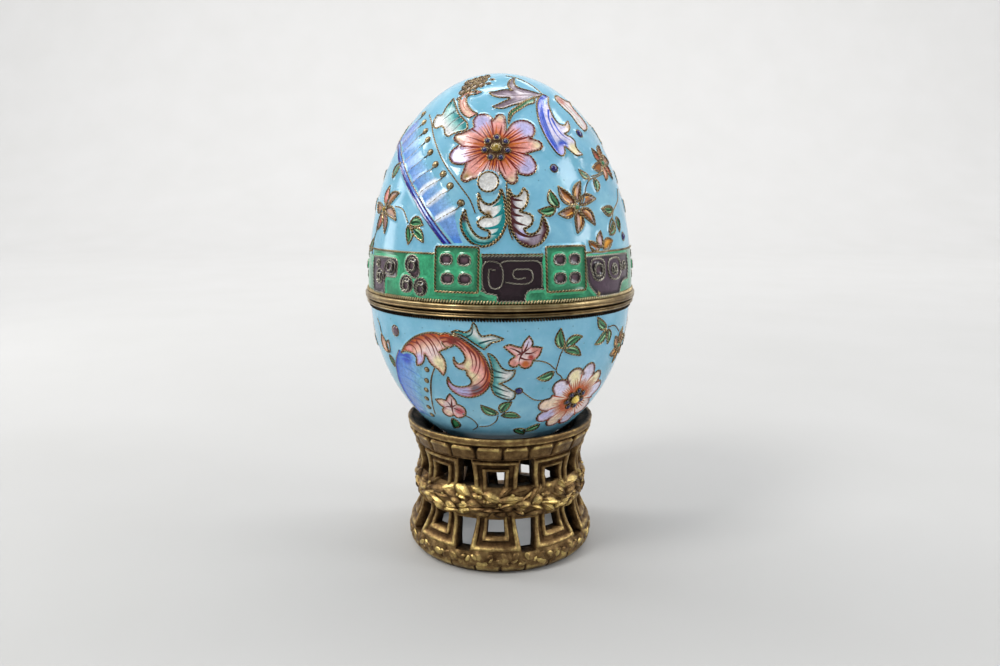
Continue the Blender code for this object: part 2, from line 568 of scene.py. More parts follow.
def twisted_tube(path: Array, normals: Array, radius: float, pitch: float,
                 closed: bool) -> tuple[Array, Faces, Array]:
    """A wire twisted from two strands, laid along a path.

    Args:
        path: the wire's centre line.
        normals: which way is up at each point of it.
        radius: half the wire's thickness.
        pitch: the distance from one strand's crest to the next.
        closed: whether the wire is a loop.

    Returns:
        The points, the faces, and how deep each point lies in the groove, from 0 to 1.
    """
    sides = 6
    run = run_along(path)
    if closed:
        total = run[-1] + np.linalg.norm(path[0] - path[-1])
        pitch = total / max(round(total / pitch), 1)
    ahead = ahead_at(path, closed)
    side = units(np.cross(ahead, normals))
    up = np.cross(side, ahead)
    angle = np.arange(sides) * math.tau / sides + math.pi / 2
    swell = np.cos(2 * angle[None] - math.tau * run[:, None] / pitch)
    reach = radius * (0.8 + 0.2 * swell)
    ring = np.cos(angle)[None, :, None] * side[:, None, :] + np.sin(angle)[None, :, None] * up[:, None, :]
    points = path[:, None, :] + ring * reach[..., None]
    faces = rows_of_faces(len(path), sides, closed=True, looped=closed)
    if not closed:
        last = (len(path) - 1) * sides
        faces += [list(range(sides))[::-1], list(range(last, last + sides))]
    return points.reshape(-1, 3), reversed_faces(faces), (0.5 - 0.5 * swell).ravel()


# ------------------------------------------------------------------------------------- finishes


def add_node(tree: bpy.types.NodeTree, kind: str, inputs: dict[str | int, object] | None = None,
             stops: Sequence[tuple[float, str]] = (), **settings: object) -> bpy.types.Node:
    """Adds a node with its settings and links.

    Args:
        tree: the material's node tree.
        kind: the node's type.
        inputs: for each input by name or number, the output linked to it, or its value.
        stops: a colour ramp's places and colours.
        **settings: the node's own settings.

    Returns:
        The node.
    """
    node = tree.nodes.new(kind)
    for name, value in settings.items():
        setattr(node, name, value)
    if stops:
        ramp = node.color_ramp
        while len(ramp.elements) < len(stops):
            ramp.elements.new(1.0)
        for element, (place, colour) in zip(ramp.elements, stops):
            element.position = place
            element.color = (*linear(colour), 1.0)
    set_inputs(node, inputs or {})
    return node


def set_inputs(node: bpy.types.Node, inputs: dict[str | int, object]) -> None:
    """Gives each of a node's inputs the output linked to it, or its value."""
    for key, value in inputs.items():
        if isinstance(value, Socket):
            node.id_data.links.new(value, node.inputs[key])
        else:
            node.inputs[key].default_value = value


def per_metre(size: float) -> float:
    """The texture scale that gives lumps of a size in millimetres."""
    return 1 / (size * METRES)


@dataclass(frozen=True)
class Finish:
    """A surface finish.

    Attributes:
        name: its material's name.
        slot: the name of the slot that it belongs to. It is not used in this script.
    """

    name: str
    slot: str

    def material(self) -> bpy.types.Material:
        """Makes the material, or finds it if it is made already."""
        found = bpy.data.materials.get(self.name)
        if found:
            return found
        made = bpy.data.materials.new(self.name)
        made.use_nodes = True
        self.dress(made.node_tree, made.node_tree.nodes["Principled BSDF"])
        return made

    def dress(self, tree: bpy.types.NodeTree, shader: bpy.types.Node) -> None:
        """Builds the nodes of the finish.

        Args:
            tree: the material's node tree.
            shader: its principled shader.
        """
        raise NotImplementedError


@dataclass(frozen=True)
class GroundEnamel(Finish):
    """Opaque turquoise enamel, fired in several coats and stoned back a little.

    The coats differ, so the colour clouds softly, with pale flecks of unmelted frit and fine dark
    pinholes. The last firing leaves a glassy skin that is slightly rippled.
    """

    deep: str = "#63a5bc"
    fair: str = "#75b0ca"
    pale: str = "#8ec4d6"
    fleck: str = "#abd0db"
    cloud: float = 9.0
    fleck_size: float = 0.8
    ripple: float = 3.2

    def dress(self, tree: bpy.types.NodeTree, shader: bpy.types.Node) -> None:
        """Builds the clouded, flecked and rippled enamel."""
        place = add_node(tree, "ShaderNodeTexCoord").outputs["Object"]
        cloud = add_node(tree, "ShaderNodeTexNoise", {
            "Vector": place, "Scale": per_metre(self.cloud), "Detail": 5.0, "Roughness": 0.6})
        base = add_node(tree, "ShaderNodeValToRGB", {"Fac": cloud.outputs["Fac"]}, stops=(
            (0.3, self.deep), (0.5, self.fair), (0.72, self.pale)))
        grain = add_node(tree, "ShaderNodeTexNoise", {
            "Vector": place, "Scale": per_metre(self.fleck_size), "Detail": 3.0, "Roughness": 0.7})
        flecked = add_node(tree, "ShaderNodeMapRange", {
            "Value": grain.outputs["Fac"], "From Min": 0.6, "From Max": 0.75, "To Max": 0.3})
        fleck = add_node(tree, "ShaderNodeMix", {
            0: flecked.outputs["Result"], 6: base.outputs["Color"], 7: (*linear(self.fleck), 1.0)},
            data_type="RGBA")
        pinholes = add_node(tree, "ShaderNodeTexVoronoi", {
            "Vector": place, "Scale": per_metre(1.7)})
        hole = add_node(tree, "ShaderNodeMapRange", {
            "Value": pinholes.outputs["Distance"], "From Min": 0.05, "From Max": 0.11,
            "To Min": 0.55, "To Max": 1.0})
        colour = add_node(tree, "ShaderNodeMix", {
            0: 1.0, 6: fleck.outputs[2], 7: hole.outputs["Result"]},
            data_type="RGBA", blend_type="MULTIPLY")
        ripple = add_node(tree, "ShaderNodeTexNoise", {
            "Vector": place, "Scale": per_metre(self.ripple), "Detail": 2.0})
        skin = add_node(tree, "ShaderNodeMath", {
            0: ripple.outputs["Fac"], 1: hole.outputs["Result"]}, operation="ADD")
        bump = add_node(tree, "ShaderNodeBump", {
            "Height": skin.outputs["Value"], "Strength": 0.35, "Distance": 0.06 * METRES})
        gloss = add_node(tree, "ShaderNodeMapRange", {
            "Value": grain.outputs["Fac"], "From Min": 0.3, "From Max": 0.7, "To Min": 0.07, "To Max": 0.2})
        set_inputs(shader, {"Base Color": colour.outputs[2], "Roughness": gloss.outputs["Result"],
                            "Normal": bump.outputs["Normal"], "IOR": ENAMEL_IOR})


@dataclass(frozen=True)
class PaintedEnamel(Finish):
    """Opaque enamels laid wet into their cells, each run into the next before firing.

    Grains of the next colour stay in each, so a field is speckled and streaked, never flat, and the
    fired skin is glassy with a slight orange peel.
    """

    speck: float = 0.55
    streak: float = 2.4

    def dress(self, tree: bpy.types.NodeTree, shader: bpy.types.Node) -> None:
        """Builds the speckled and streaked enamel."""
        place = add_node(tree, "ShaderNodeTexCoord").outputs["Object"]
        glaze = add_node(tree, "ShaderNodeAttribute", attribute_name="glaze")
        speck = add_node(tree, "ShaderNodeTexNoise", {
            "Vector": place, "Scale": per_metre(self.speck), "Detail": 4.0, "Roughness": 0.75})
        streak = add_node(tree, "ShaderNodeTexNoise", {
            "Vector": place, "Scale": per_metre(self.streak), "Detail": 3.0, "Distortion": 0.6})
        light = add_node(tree, "ShaderNodeMapRange", {
            "Value": speck.outputs["Fac"], "From Min": 0.35, "From Max": 0.68,
            "To Min": 0.72, "To Max": 1.22})
        cloud = add_node(tree, "ShaderNodeMapRange", {
            "Value": streak.outputs["Fac"], "From Min": 0.3, "From Max": 0.7, "To Min": 0.85, "To Max": 1.12})
        shade = add_node(tree, "ShaderNodeMath", {
            0: light.outputs["Result"], 1: cloud.outputs["Result"]}, operation="MULTIPLY")
        colour = add_node(tree, "ShaderNodeMix", {
            0: 1.0, 6: glaze.outputs["Color"], 7: shade.outputs["Value"]},
            data_type="RGBA", blend_type="MULTIPLY")
        bump = add_node(tree, "ShaderNodeBump", {
            "Height": streak.outputs["Fac"], "Strength": 0.4, "Distance": 0.05 * METRES})
        gloss = add_node(tree, "ShaderNodeMapRange", {
            "Value": speck.outputs["Fac"], "From Min": 0.3, "From Max": 0.7, "To Min": 0.1, "To Max": 0.24})
        set_inputs(shader, {"Base Color": colour.outputs[2], "Roughness": gloss.outputs["Result"],
                            "Normal": bump.outputs["Normal"], "IOR": ENAMEL_IOR})


@dataclass(frozen=True)
class DropGlass(Finish):
    """Drops of dark clear enamel melted into round beads, with a clean wet shine."""

    def dress(self, tree: bpy.types.NodeTree, shader: bpy.types.Node) -> None:
        """Builds the beads' deep colour, a little uneven, under a smooth skin."""
        place = add_node(tree, "ShaderNodeTexCoord").outputs["Object"]
        glaze = add_node(tree, "ShaderNodeAttribute", attribute_name="glaze")
        cloud = add_node(tree, "ShaderNodeTexNoise", {
            "Vector": place, "Scale": per_metre(0.8), "Detail": 2.0})
        light = add_node(tree, "ShaderNodeMapRange", {
            "Value": cloud.outputs["Fac"], "From Min": 0.3, "From Max": 0.7, "To Min": 0.7, "To Max": 1.3})
        colour = add_node(tree, "ShaderNodeMix", {
            0: 1.0, 6: glaze.outputs["Color"], 7: light.outputs["Result"]},
            data_type="RGBA", blend_type="MULTIPLY")
        set_inputs(shader, {"Base Color": colour.outputs[2], "Roughness": 0.05, "IOR": ENAMEL_IOR,
                            "Coat Weight": 0.5, "Coat Roughness": 0.03})


@dataclass(frozen=True)
class TwistedWire(Finish):
    """Wire of two strands twisted and flattened, soldered down and gilded.

    Handling has polished the crests, and tarnish and firescale stay in the grooves.
    """

    crest: str = "#dcc79a"
    flank: str = "#76603f"
    groove: str = "#1c130c"
    roughness: float = 0.25

    def dress(self, tree: bpy.types.NodeTree, shader: bpy.types.Node) -> None:
        """Builds the worn crests and dark grooves."""
        place = add_node(tree, "ShaderNodeTexCoord").outputs["Object"]
        depth = add_node(tree, "ShaderNodeAttribute", attribute_name="glaze")
        tarnish = add_node(tree, "ShaderNodeTexNoise", {
            "Vector": place, "Scale": per_metre(3.0), "Detail": 5.0, "Roughness": 0.7})
        uneven = add_node(tree, "ShaderNodeMapRange", {
            "Value": tarnish.outputs["Fac"], "From Min": 0.3, "From Max": 0.7,
            "To Min": -0.16, "To Max": 0.2})
        total = add_node(tree, "ShaderNodeMath", {
            0: depth.outputs["Fac"], 1: uneven.outputs["Result"]}, operation="ADD", use_clamp=True)
        colour = add_node(tree, "ShaderNodeValToRGB", {"Fac": total.outputs["Value"]}, stops=(
            (0.16, self.crest), (0.46, self.flank), (0.74, self.groove)))
        rough = add_node(tree, "ShaderNodeMapRange", {
            "Value": total.outputs["Value"], "To Min": self.roughness, "To Max": 0.6})
        set_inputs(shader, {"Base Color": colour.outputs["Color"], "Roughness": rough.outputs["Result"],
                            "Metallic": 1.0})


@dataclass(frozen=True)
class TurnedRim(Finish):
    """Brass turned on a lathe, gilded, and dulled by handling.

    The tool leaves fine rings round it, and brown tarnish settles in patches.
    """

    fair: str = "#87724f"
    worn: str = "#bcaa80"
    brown: str = "#66523a"

    def dress(self, tree: bpy.types.NodeTree, shader: bpy.types.Node) -> None:
        """Builds the turned rings and the patchy tarnish."""
        place = add_node(tree, "ShaderNodeTexCoord").outputs["Object"]
        depth = add_node(tree, "ShaderNodeAttribute", attribute_name="glaze")
        flat = add_node(tree, "ShaderNodeMapping", {"Vector": place, "Scale": (0.25, 0.25, 6.0)})
        # The tool's rings are about 0.05 apart, and drawn at 0.4 so that they show.
        rings = add_node(tree, "ShaderNodeTexNoise", {
            "Vector": flat.outputs["Vector"], "Scale": per_metre(2.4), "Detail": 4.0})
        patch = add_node(tree, "ShaderNodeTexNoise", {
            "Vector": place, "Scale": per_metre(4.0), "Detail": 6.0, "Roughness": 0.72})
        mixed = add_node(tree, "ShaderNodeMath", {
            0: patch.outputs["Fac"], 1: depth.outputs["Fac"]}, operation="SUBTRACT")
        colour = add_node(tree, "ShaderNodeValToRGB", {"Fac": mixed.outputs["Value"]}, stops=(
            (0.22, self.brown), (0.5, self.fair), (0.72, self.worn)))
        rough = add_node(tree, "ShaderNodeMapRange", {
            "Value": patch.outputs["Fac"], "From Min": 0.3, "From Max": 0.7, "To Min": 0.42, "To Max": 0.26})
        bump = add_node(tree, "ShaderNodeBump", {
            "Height": rings.outputs["Fac"], "Strength": 0.5, "Distance": 0.06 * METRES})
        set_inputs(shader, {"Base Color": colour.outputs["Color"], "Roughness": rough.outputs["Result"],
                            "Normal": bump.outputs["Normal"], "Metallic": 1.0})


@dataclass(frozen=True)
class CastBrass(Finish):
    """Sand-cast brass, chased, and darkened by age.

    High places are worn bright yellow, the flanks are brown, and the hollows are nearly black.
    The casting skin is slightly pitted. The darkness given to each point also carries some
    painted shade and painted highlights.
    """

    bright: str = "#dac07a"
    fair: str = "#8c714a"
    brown: str = "#553f28"
    black: str = "#140e07"
    pit: float = 0.7

    def dress(self, tree: bpy.types.NodeTree, shader: bpy.types.Node) -> None:
        """Builds the worn bright heights and dark hollows."""
        place = add_node(tree, "ShaderNodeTexCoord").outputs["Object"]
        depth = add_node(tree, "ShaderNodeAttribute", attribute_name="glaze")
        patch = add_node(tree, "ShaderNodeTexNoise", {
            "Vector": place, "Scale": per_metre(2.2), "Detail": 7.0, "Roughness": 0.72})
        uneven = add_node(tree, "ShaderNodeMapRange", {
            "Value": patch.outputs["Fac"], "From Min": 0.3, "From Max": 0.7, "To Min": -0.22, "To Max": 0.24})
        total = add_node(tree, "ShaderNodeMath", {
            0: depth.outputs["Fac"], 1: uneven.outputs["Result"]}, operation="ADD", use_clamp=True)
        colour = add_node(tree, "ShaderNodeValToRGB", {"Fac": total.outputs["Value"]}, stops=(
            (0.06, self.bright), (0.32, self.fair), (0.6, self.brown), (0.9, self.black)))
        rough = add_node(tree, "ShaderNodeMapRange", {
            "Value": total.outputs["Value"], "To Min": 0.33, "To Max": 0.66})
        pits = add_node(tree, "ShaderNodeTexNoise", {
            "Vector": place, "Scale": per_metre(self.pit), "Detail": 4.0, "Roughness": 0.7})
        bump = add_node(tree, "ShaderNodeBump", {
            "Height": pits.outputs["Fac"], "Strength": 0.8, "Distance": 0.18 * METRES})
        set_inputs(shader, {"Base Color": colour.outputs["Color"], "Roughness": rough.outputs["Result"],
                            "Normal": bump.outputs["Normal"], "Metallic": 1.0})


GROUND = GroundEnamel("turquoise_enamel", "enamel")
PAINTED = PaintedEnamel("painted_enamel", "enamel")
DROPS = DropGlass("glass_drops", "enamel")
GILT_WIRE = TwistedWire("gilt_twisted_wire", "gilt_brass")
SILVER_WIRE = TwistedWire("silver_twisted_wire", "gilt_brass", crest="#e6e2d2", flank="#a39d8c",
                          groove="#2c2620", roughness=0.4)
RIM = TurnedRim("turned_gilt_brass", "gilt_brass")
CAST = CastBrass("aged_cast_brass", "aged_brass")


# ------------------------------------------------------------------------------- laying enamel


@dataclass(frozen=True)
class Shade:
    """How a cell's colour runs across it.

    Attributes:
        stops: distances and the glazes there, in order.
        start: the line that distances are measured from. None is the cell's own edge.
        end: where it is given, a distance is a share of the way from the start line to this one.
        washes: places with a radius and a glaze that are laid over the rest, softly.
        rim: a glaze that darkens the last quarter of a millimetre along the edge.
    """

    stops: Sequence[tuple[float, Glaze]]
    start: Sequence[Point] | None = None
    end: Sequence[Point] | None = None
    washes: Sequence[tuple[Point, float, Glaze]] = ()
    rim: Glaze | None = None

    def colours(self, points: Array, marks: Array) -> Array:
        """The glaze at each point.

        Args:
            points: points inside the cell.
            marks: the cell's outline.

        Returns:
            Colours in linear light, one row each.
        """
        edge = distance_to_line(points, marks, closed=True)
        away = edge if self.start is None else distance_to_line(points, np.array(self.start))
        if self.end is not None:
            away = away / (away + distance_to_line(points, np.array(self.end)) + 1e-6)
        places = [place for place, _ in self.stops]
        glazes = np.array([glaze.light for _, glaze in self.stops])
        found = np.stack([np.interp(away, places, glazes[:, i]) for i in range(3)], axis=1)
        for centre, radius, glaze in self.washes:
            share = 1 - smooth_step(distance_to_line(points, np.array(centre)), radius * 0.45, radius * 1.2)
            found += share[:, None] * (glaze.light - found)
        if self.rim is not None:
            share = 0.75 * (1 - smooth_step(edge, 0.15, 0.55))
            found += share[:, None] * (self.rim.light - found)
        return found


@dataclass
class Tray:
    """The parts that make up the ornament of one side of the egg.

    Attributes:
        name: the start of its pieces' names.
        fine: how closely its meshes are divided, 1 on the side that is shown.
        ground_glaze: the glaze of the ground round its wires.
        ground_top: the height above which that ground is turquoise again.
    """

    name: str
    fine: float = 1.0
    ground_glaze: Glaze = Glaze.TURQUOISE
    ground_top: float = math.inf
    enamel: MeshStock = field(default_factory=MeshStock)
    wire: MeshStock = field(default_factory=MeshStock)
    silver: MeshStock = field(default_factory=MeshStock)
    ground: MeshStock = field(default_factory=MeshStock)
    glass: MeshStock = field(default_factory=MeshStock)

    def make(self) -> None:
        """Makes a piece of each stock that holds anything."""
        self.enamel.make(f"{self.name}_cells", PAINTED)
        self.wire.make(f"{self.name}_wire", GILT_WIRE)
        self.silver.make(f"{self.name}_silver_wire", SILVER_WIRE)
        plain = self.ground_glaze is Glaze.TURQUOISE
        self.ground.make(f"{self.name}_ground_edge", GROUND if plain else PAINTED)
        self.glass.make(f"{self.name}_drops", DROPS)


@dataclass(frozen=True)
class Cell:
    """The enamel within one outline, which clings to the wire and dips towards the middle.

    Attributes:
        marks: its outline.
        rise: how high the enamel climbs the wire.
        reach: how far from the wire it has fallen to a third of that.
        floor: how high the level middle stands above the ground.
        walls: the wires that it climbs, where they aren't its outline.
        shore: an open side, where it runs out under the ground.
    """

    marks: Array
    rise: float = 0.2
    reach: float = 0.3
    floor: float = 0.03
    walls: Sequence[Array] = ()
    shore: Array | None = None

    def height(self, points: Array) -> Array:
        """How high the enamel stands above the egg at points on the sheet."""
        if self.walls:
            away = np.min([distance_to_line(points, wall) for wall in self.walls], axis=0)
        else:
            away = distance_to_line(points, self.marks, closed=True)
        lift = self.floor + self.rise * np.exp(-away / self.reach)
        if self.shore is not None:
            lift -= (lift + 0.07) * (1 - smooth_step(distance_to_line(points, self.shore), 0.0, 0.9))
        return lift


class Pen:
    """Draws on one chart, and lays what it draws onto the egg."""

    def __init__(self, tray: Tray, chart: Chart) -> None:
        """Takes the tray that the parts go to and the chart that they are drawn on."""
        self.tray = tray
        self.chart = chart

    def cell(self, marks: Array, shade: Shade, floor: float = 0.03, silver: bool = False,
             spacing: float = 0.42, thick: float = 0.27) -> Cell:
        """Fills an outline with enamel and runs a wire round it.

        Args:
            marks: the outline.
            shade: its colours.
            floor: how high its level middle stands above the ground.
            silver: whether its wire is silver.
            spacing: the distance between the mesh's knots.
            thick: the wire's half thickness.

        Returns:
            The cell.
        """
        made = self.fill(Cell(marks, floor=floor), shade, spacing)
        self.wire(marks, closed=True, silver=silver, proud=floor + 0.05, thick=thick)
        self.meniscus(marks, closed=True, lift=floor)
        return made

    def fill(self, made: Cell, shade: Shade, spacing: float = 0.42) -> Cell:
        """Lays a cell's enamel.

        Args:
            made: the cell.
            shade: its colours.
            spacing: the distance between the mesh's knots.

        Returns:
            The cell.
        """
        self.spread(made.marks, spacing, made.height, lambda knots: shade.colours(knots, made.marks))
        return made

    def spread(self, marks: Array, spacing: float, height: Callable[[Array], Array],
               tint: Callable[[Array], Array]) -> None:
        """Spreads enamel over an outline.

        Args:
            marks: the outline.
            spacing: the distance between the mesh's knots.
            height: gives how high the enamel stands at points on the sheet.
            tint: gives its colours there, in linear light.
        """
        knots, triangles = fill_field(marks, spacing / self.tray.fine)
        points, _ = self.chart.lay(knots, height(knots))
        if self.chart.mirrored:
            triangles = triangles[:, ::-1]
        self.tray.enamel.add(points, triangles.tolist(), tint(knots))

    def strip(self, rows: Iterable[tuple[Array, Array | float]], closed: bool,
              side: int = 1) -> tuple[Array, Faces]:
        """Lays a strip of faces between rows of points.

        Args:
            rows: for each row, its points on the sheet and how high above the egg they stand.
            closed: whether each row's last point joins its first.
            side: 1 if the rows follow each other to the right of the way they run, or -1.

        Returns:
            The points in space, and the faces, which look out of the egg.
        """
        laid = [self.chart.lay(points, proud)[0] for points, proud in rows]
        faces = rows_of_faces(len(laid), len(laid[0]), closed)
        if (side > 0) != self.chart.mirrored:
            faces = reversed_faces(faces)
        return np.vstack(laid), faces

    def wire(self, line: Array, closed: bool = False, silver: bool = False, thick: float = 0.2,
             proud: float = 0.08) -> None:
        """Lays a twisted wire.

        Args:
            line: the line that it follows.
            closed: whether it is a loop.
            silver: whether it is silver and not gilt.
            thick: its half thickness.
            proud: how far its middle stands above the egg.
        """
        step = 0.16 / self.tray.fine
        marks = even_marks(line, step, closed)
        points, normals = self.chart.lay(marks, proud)
        pitch = max(TWIST, 3.8 * step)  # fewer steps than that to a crest would lose the twist
        stock = self.tray.silver if silver else self.tray.wire
        stock.add(*twisted_tube(points, normals, thick, pitch, closed))

    def meniscus(self, line: Array, closed: bool = False, side: int = 1, lift: float = 0.0) -> None:
        """Draws the ground enamel up against a wire, as surface tension does in the firing.

        Args:
            line: the wire's line. An outline runs anticlockwise.
            closed: whether it is a loop.
            side: 1 for the right of the line, which is outside an outline, or -1 for its left.
            lift: how much higher than usual the wire stands.
        """
        marks = even_marks(line, 0.36 / self.tray.fine, closed)
        away = right_at(marks, closed) * side
        slope = ((0.1, 0.12 + lift), (0.3, 0.085 + 0.7 * lift), (0.52, 0.03 + 0.25 * lift), (0.8, -0.04))
        points, faces = self.strip([(marks + away * far, high) for far, high in slope], closed, side)
        above = (points[:, 2] > self.tray.ground_top)[:, None]
        tint = np.where(above, Glaze.TURQUOISE.light, self.tray.ground_glaze.light)
        self.tray.ground.add(points, faces, tint)

    def stem(self, points: Sequence[Point]) -> None:
        """Lays a free wire, with the ground drawn up on both its sides."""
        line = smooth_curve(points)
        self.wire(line)
        self.meniscus(line)
        self.meniscus(line, side=-1)

    def stroke(self, points: Sequence[Point], glaze: Glaze, width: float, cell: Cell) -> None:
        """Paints a tapered line over a cell's enamel.

        Args:
            points: the line that it follows, from its thick end.
            glaze: its colour.
            width: its width at the thick end.
            cell: the cell under it.
        """
        line = smooth_curve(points, step=0.3 / self.tray.fine)
        away = right_at(line)
        share = np.linspace(0, 1, len(line))
        half = width / 2 * (1 - 0.85 * share**1.5)[:, None]
        rows = []
        for offset, lift in ((-1.0, 0.005), (0.0, 0.045), (1.0, 0.005)):
            at = line + away * half * offset
            rows.append((at, cell.height(at) + lift))
        self.tray.enamel.add(*self.strip(rows, closed=False), glaze.light)

    def strokes(self, glaze: Glaze, width: float, cell: Cell, *paths: Sequence[Point]) -> None:
        """Paints several strokes of one colour and width."""
        for path in paths:
            self.stroke(path, glaze, width, cell)

    def leaf(self, base: Point, tip: Point, half: float, edge: Glaze, heart: Glaze,
             bend: float = 0.12, vein: Glaze | None = None, glint: Glaze | None = None,
             margin: float = 0.26) -> None:
        """Lays a pointed leaf or petal.

        Args:
            base: where it joins its stem.
            tip: its point.
            half: half its greatest width.
            edge: its colour along the wire.
            heart: its colour in the middle.
            bend: how far it bows to its left, as a share of its length.
            vein: the colour of a painted midrib, if it has one.
            glint: the colour of a painted highlight beside the midrib, if it has one.
            margin: how far in from its edge the edge colour stays unmixed.
        """
        base, tip = np.array(base, float), np.array(tip, float)
        along = tip - base
        left = np.array([-along[1], along[0]])
        side = left / np.linalg.norm(along)

        def middle(share: float, shift: float = 0.0) -> Array:
            """A place along the leaf's bowed midline, moved to its left."""
            return base + along * share + left * bend * 4 * share * (1 - share) + side * shift

        widths = ((0.0, 0.0), (0.1, 0.55), (0.3, 0.96), (0.52, 1.0), (0.76, 0.66), (1.0, 0.0))
        right_side = [middle(share, -half * width) for share, width in widths]
        left_side = [middle(share, half * width) for share, width in widths]
        marks = outline(right_side, left_side[::-1], step=0.26)
        cell = self.cell(marks, Shade(
            ((0.0, edge), (margin, edge), (max(half * 0.75, margin + 0.3), heart))), spacing=0.36)
        if vein is not None:
            self.stroke([middle(s, -0.08) for s in (0.08, 0.35, 0.6, 0.85)], vein, 0.5, cell)
        # The glint is a painted highlight: a pale stroke where the glassy enamel catches the light.
        if glint is not None:
            self.stroke([middle(s, half * 0.38) for s in (0.22, 0.45, 0.68)], glint, 0.3, cell)

    def green_leaves(self, *places: tuple[Point, Point, float], bend: float = 0.12) -> None:
        """Lays green leaves, each with a dark midrib and a painted highlight beside it.

        Args:
            places: each leaf's base, its tip, and half its greatest width.
            bend: how far the leaves bow to their left, as a share of their length.
        """
        for base, tip, half in places:
            self.leaf(base, tip, half, Glaze.LEAF, Glaze.LEAF, bend, Glaze.LEAF_DEEP, Glaze.LEAF_PALE)

    def rosette(self, middle: Point, first: float, reach: float, half: float, edge: Glaze,
                heart: Glaze, glint: Glaze | None = None) -> None:
        """Lays six petals round a middle.

        Args:
            middle: the middle.
            first: the first petal's direction.
            reach: how far the petals' tips are from the middle.
            half: half a petal's greatest width.
            edge: the petals' colour along the wire.
            heart: their colour in the middle.
            glint: the colour of the painted highlight on each, if they have one.
        """
        for angle in range(0, 360, 60):
            base, tip = (np.array(middle) + polar(far, angle + first) for far in (0.7, reach))
            self.leaf(tuple(base), tuple(tip), half, edge, heart, glint=glint)

    def collar(self, at: Point, ring: Array, floor: float, glaze: Glaze) -> None:
        """Draws the surrounding enamel up against a raised ring.

        Args:
            at: the ring's middle.
            ring: the ring's points about that middle.
            floor: how high the enamel round it stands.
            glaze: that enamel's colour.
        """
        reach = np.linalg.norm(ring, axis=1, keepdims=True)
        rows = [(np.array(at) + ring * (1 + offset / reach), floor + lift)
                for offset, lift in ((0.1, 0.26), (0.24, 0.16), (0.42, 0.06), (0.7, -0.03))]
        self.tray.enamel.add(*self.strip(rows, closed=True), glaze.light)

    def grain(self, at: Point, radius: float) -> None:
        """Solders on a ball of gold in a ring of twisted wire."""
        centre, normal = self.chart.lay(np.array([at]), 0.02)
        points, faces = dome_mesh(centre[0], normal[0], radius, radius * 0.75)
        self.tray.wire.add(points, faces, 0.3)
        self.wire(np.array(at) + (radius + 0.1) * circle(24), closed=True, thick=0.14, proud=0.02)

    def jewel(self, at: Point, radius: float, glaze: Glaze, rise: float = 0.55) -> None:
        """Melts a drop of glass into a collet of twisted wire.

        Args:
            at: its middle.
            radius: its radius.
            glaze: its colour.
            rise: how high it stands.
        """
        centre, normal = self.chart.lay(np.array([at]), 0.0)
        points, faces = dome_mesh(centre[0], normal[0], radius, rise, steps=20, rings=6)
        self.tray.glass.add(points, faces, glaze.light)
        marks = np.array(at) + (radius + 0.08) * circle(30)
        self.wire(marks, closed=True, thick=0.15, proud=0.1)
        self.meniscus(marks, closed=True)


@dataclass(frozen=True)
class Lobe:
    """One petal of a great flower.

    Attributes:
        angle: its direction from the flower's middle, anticlockwise from the right.
        reach: how far its tip is from the middle.
        half: half its width near the tip.
        glaze: its colour at the tip.
        notch: how far from the middle it parts from the next petal, anticlockwise.
        start: how far from the middle its tip colour begins.
    """

    angle: float
    reach: float
    half: float
    glaze: Glaze
    notch: float
    start: float = 6.4


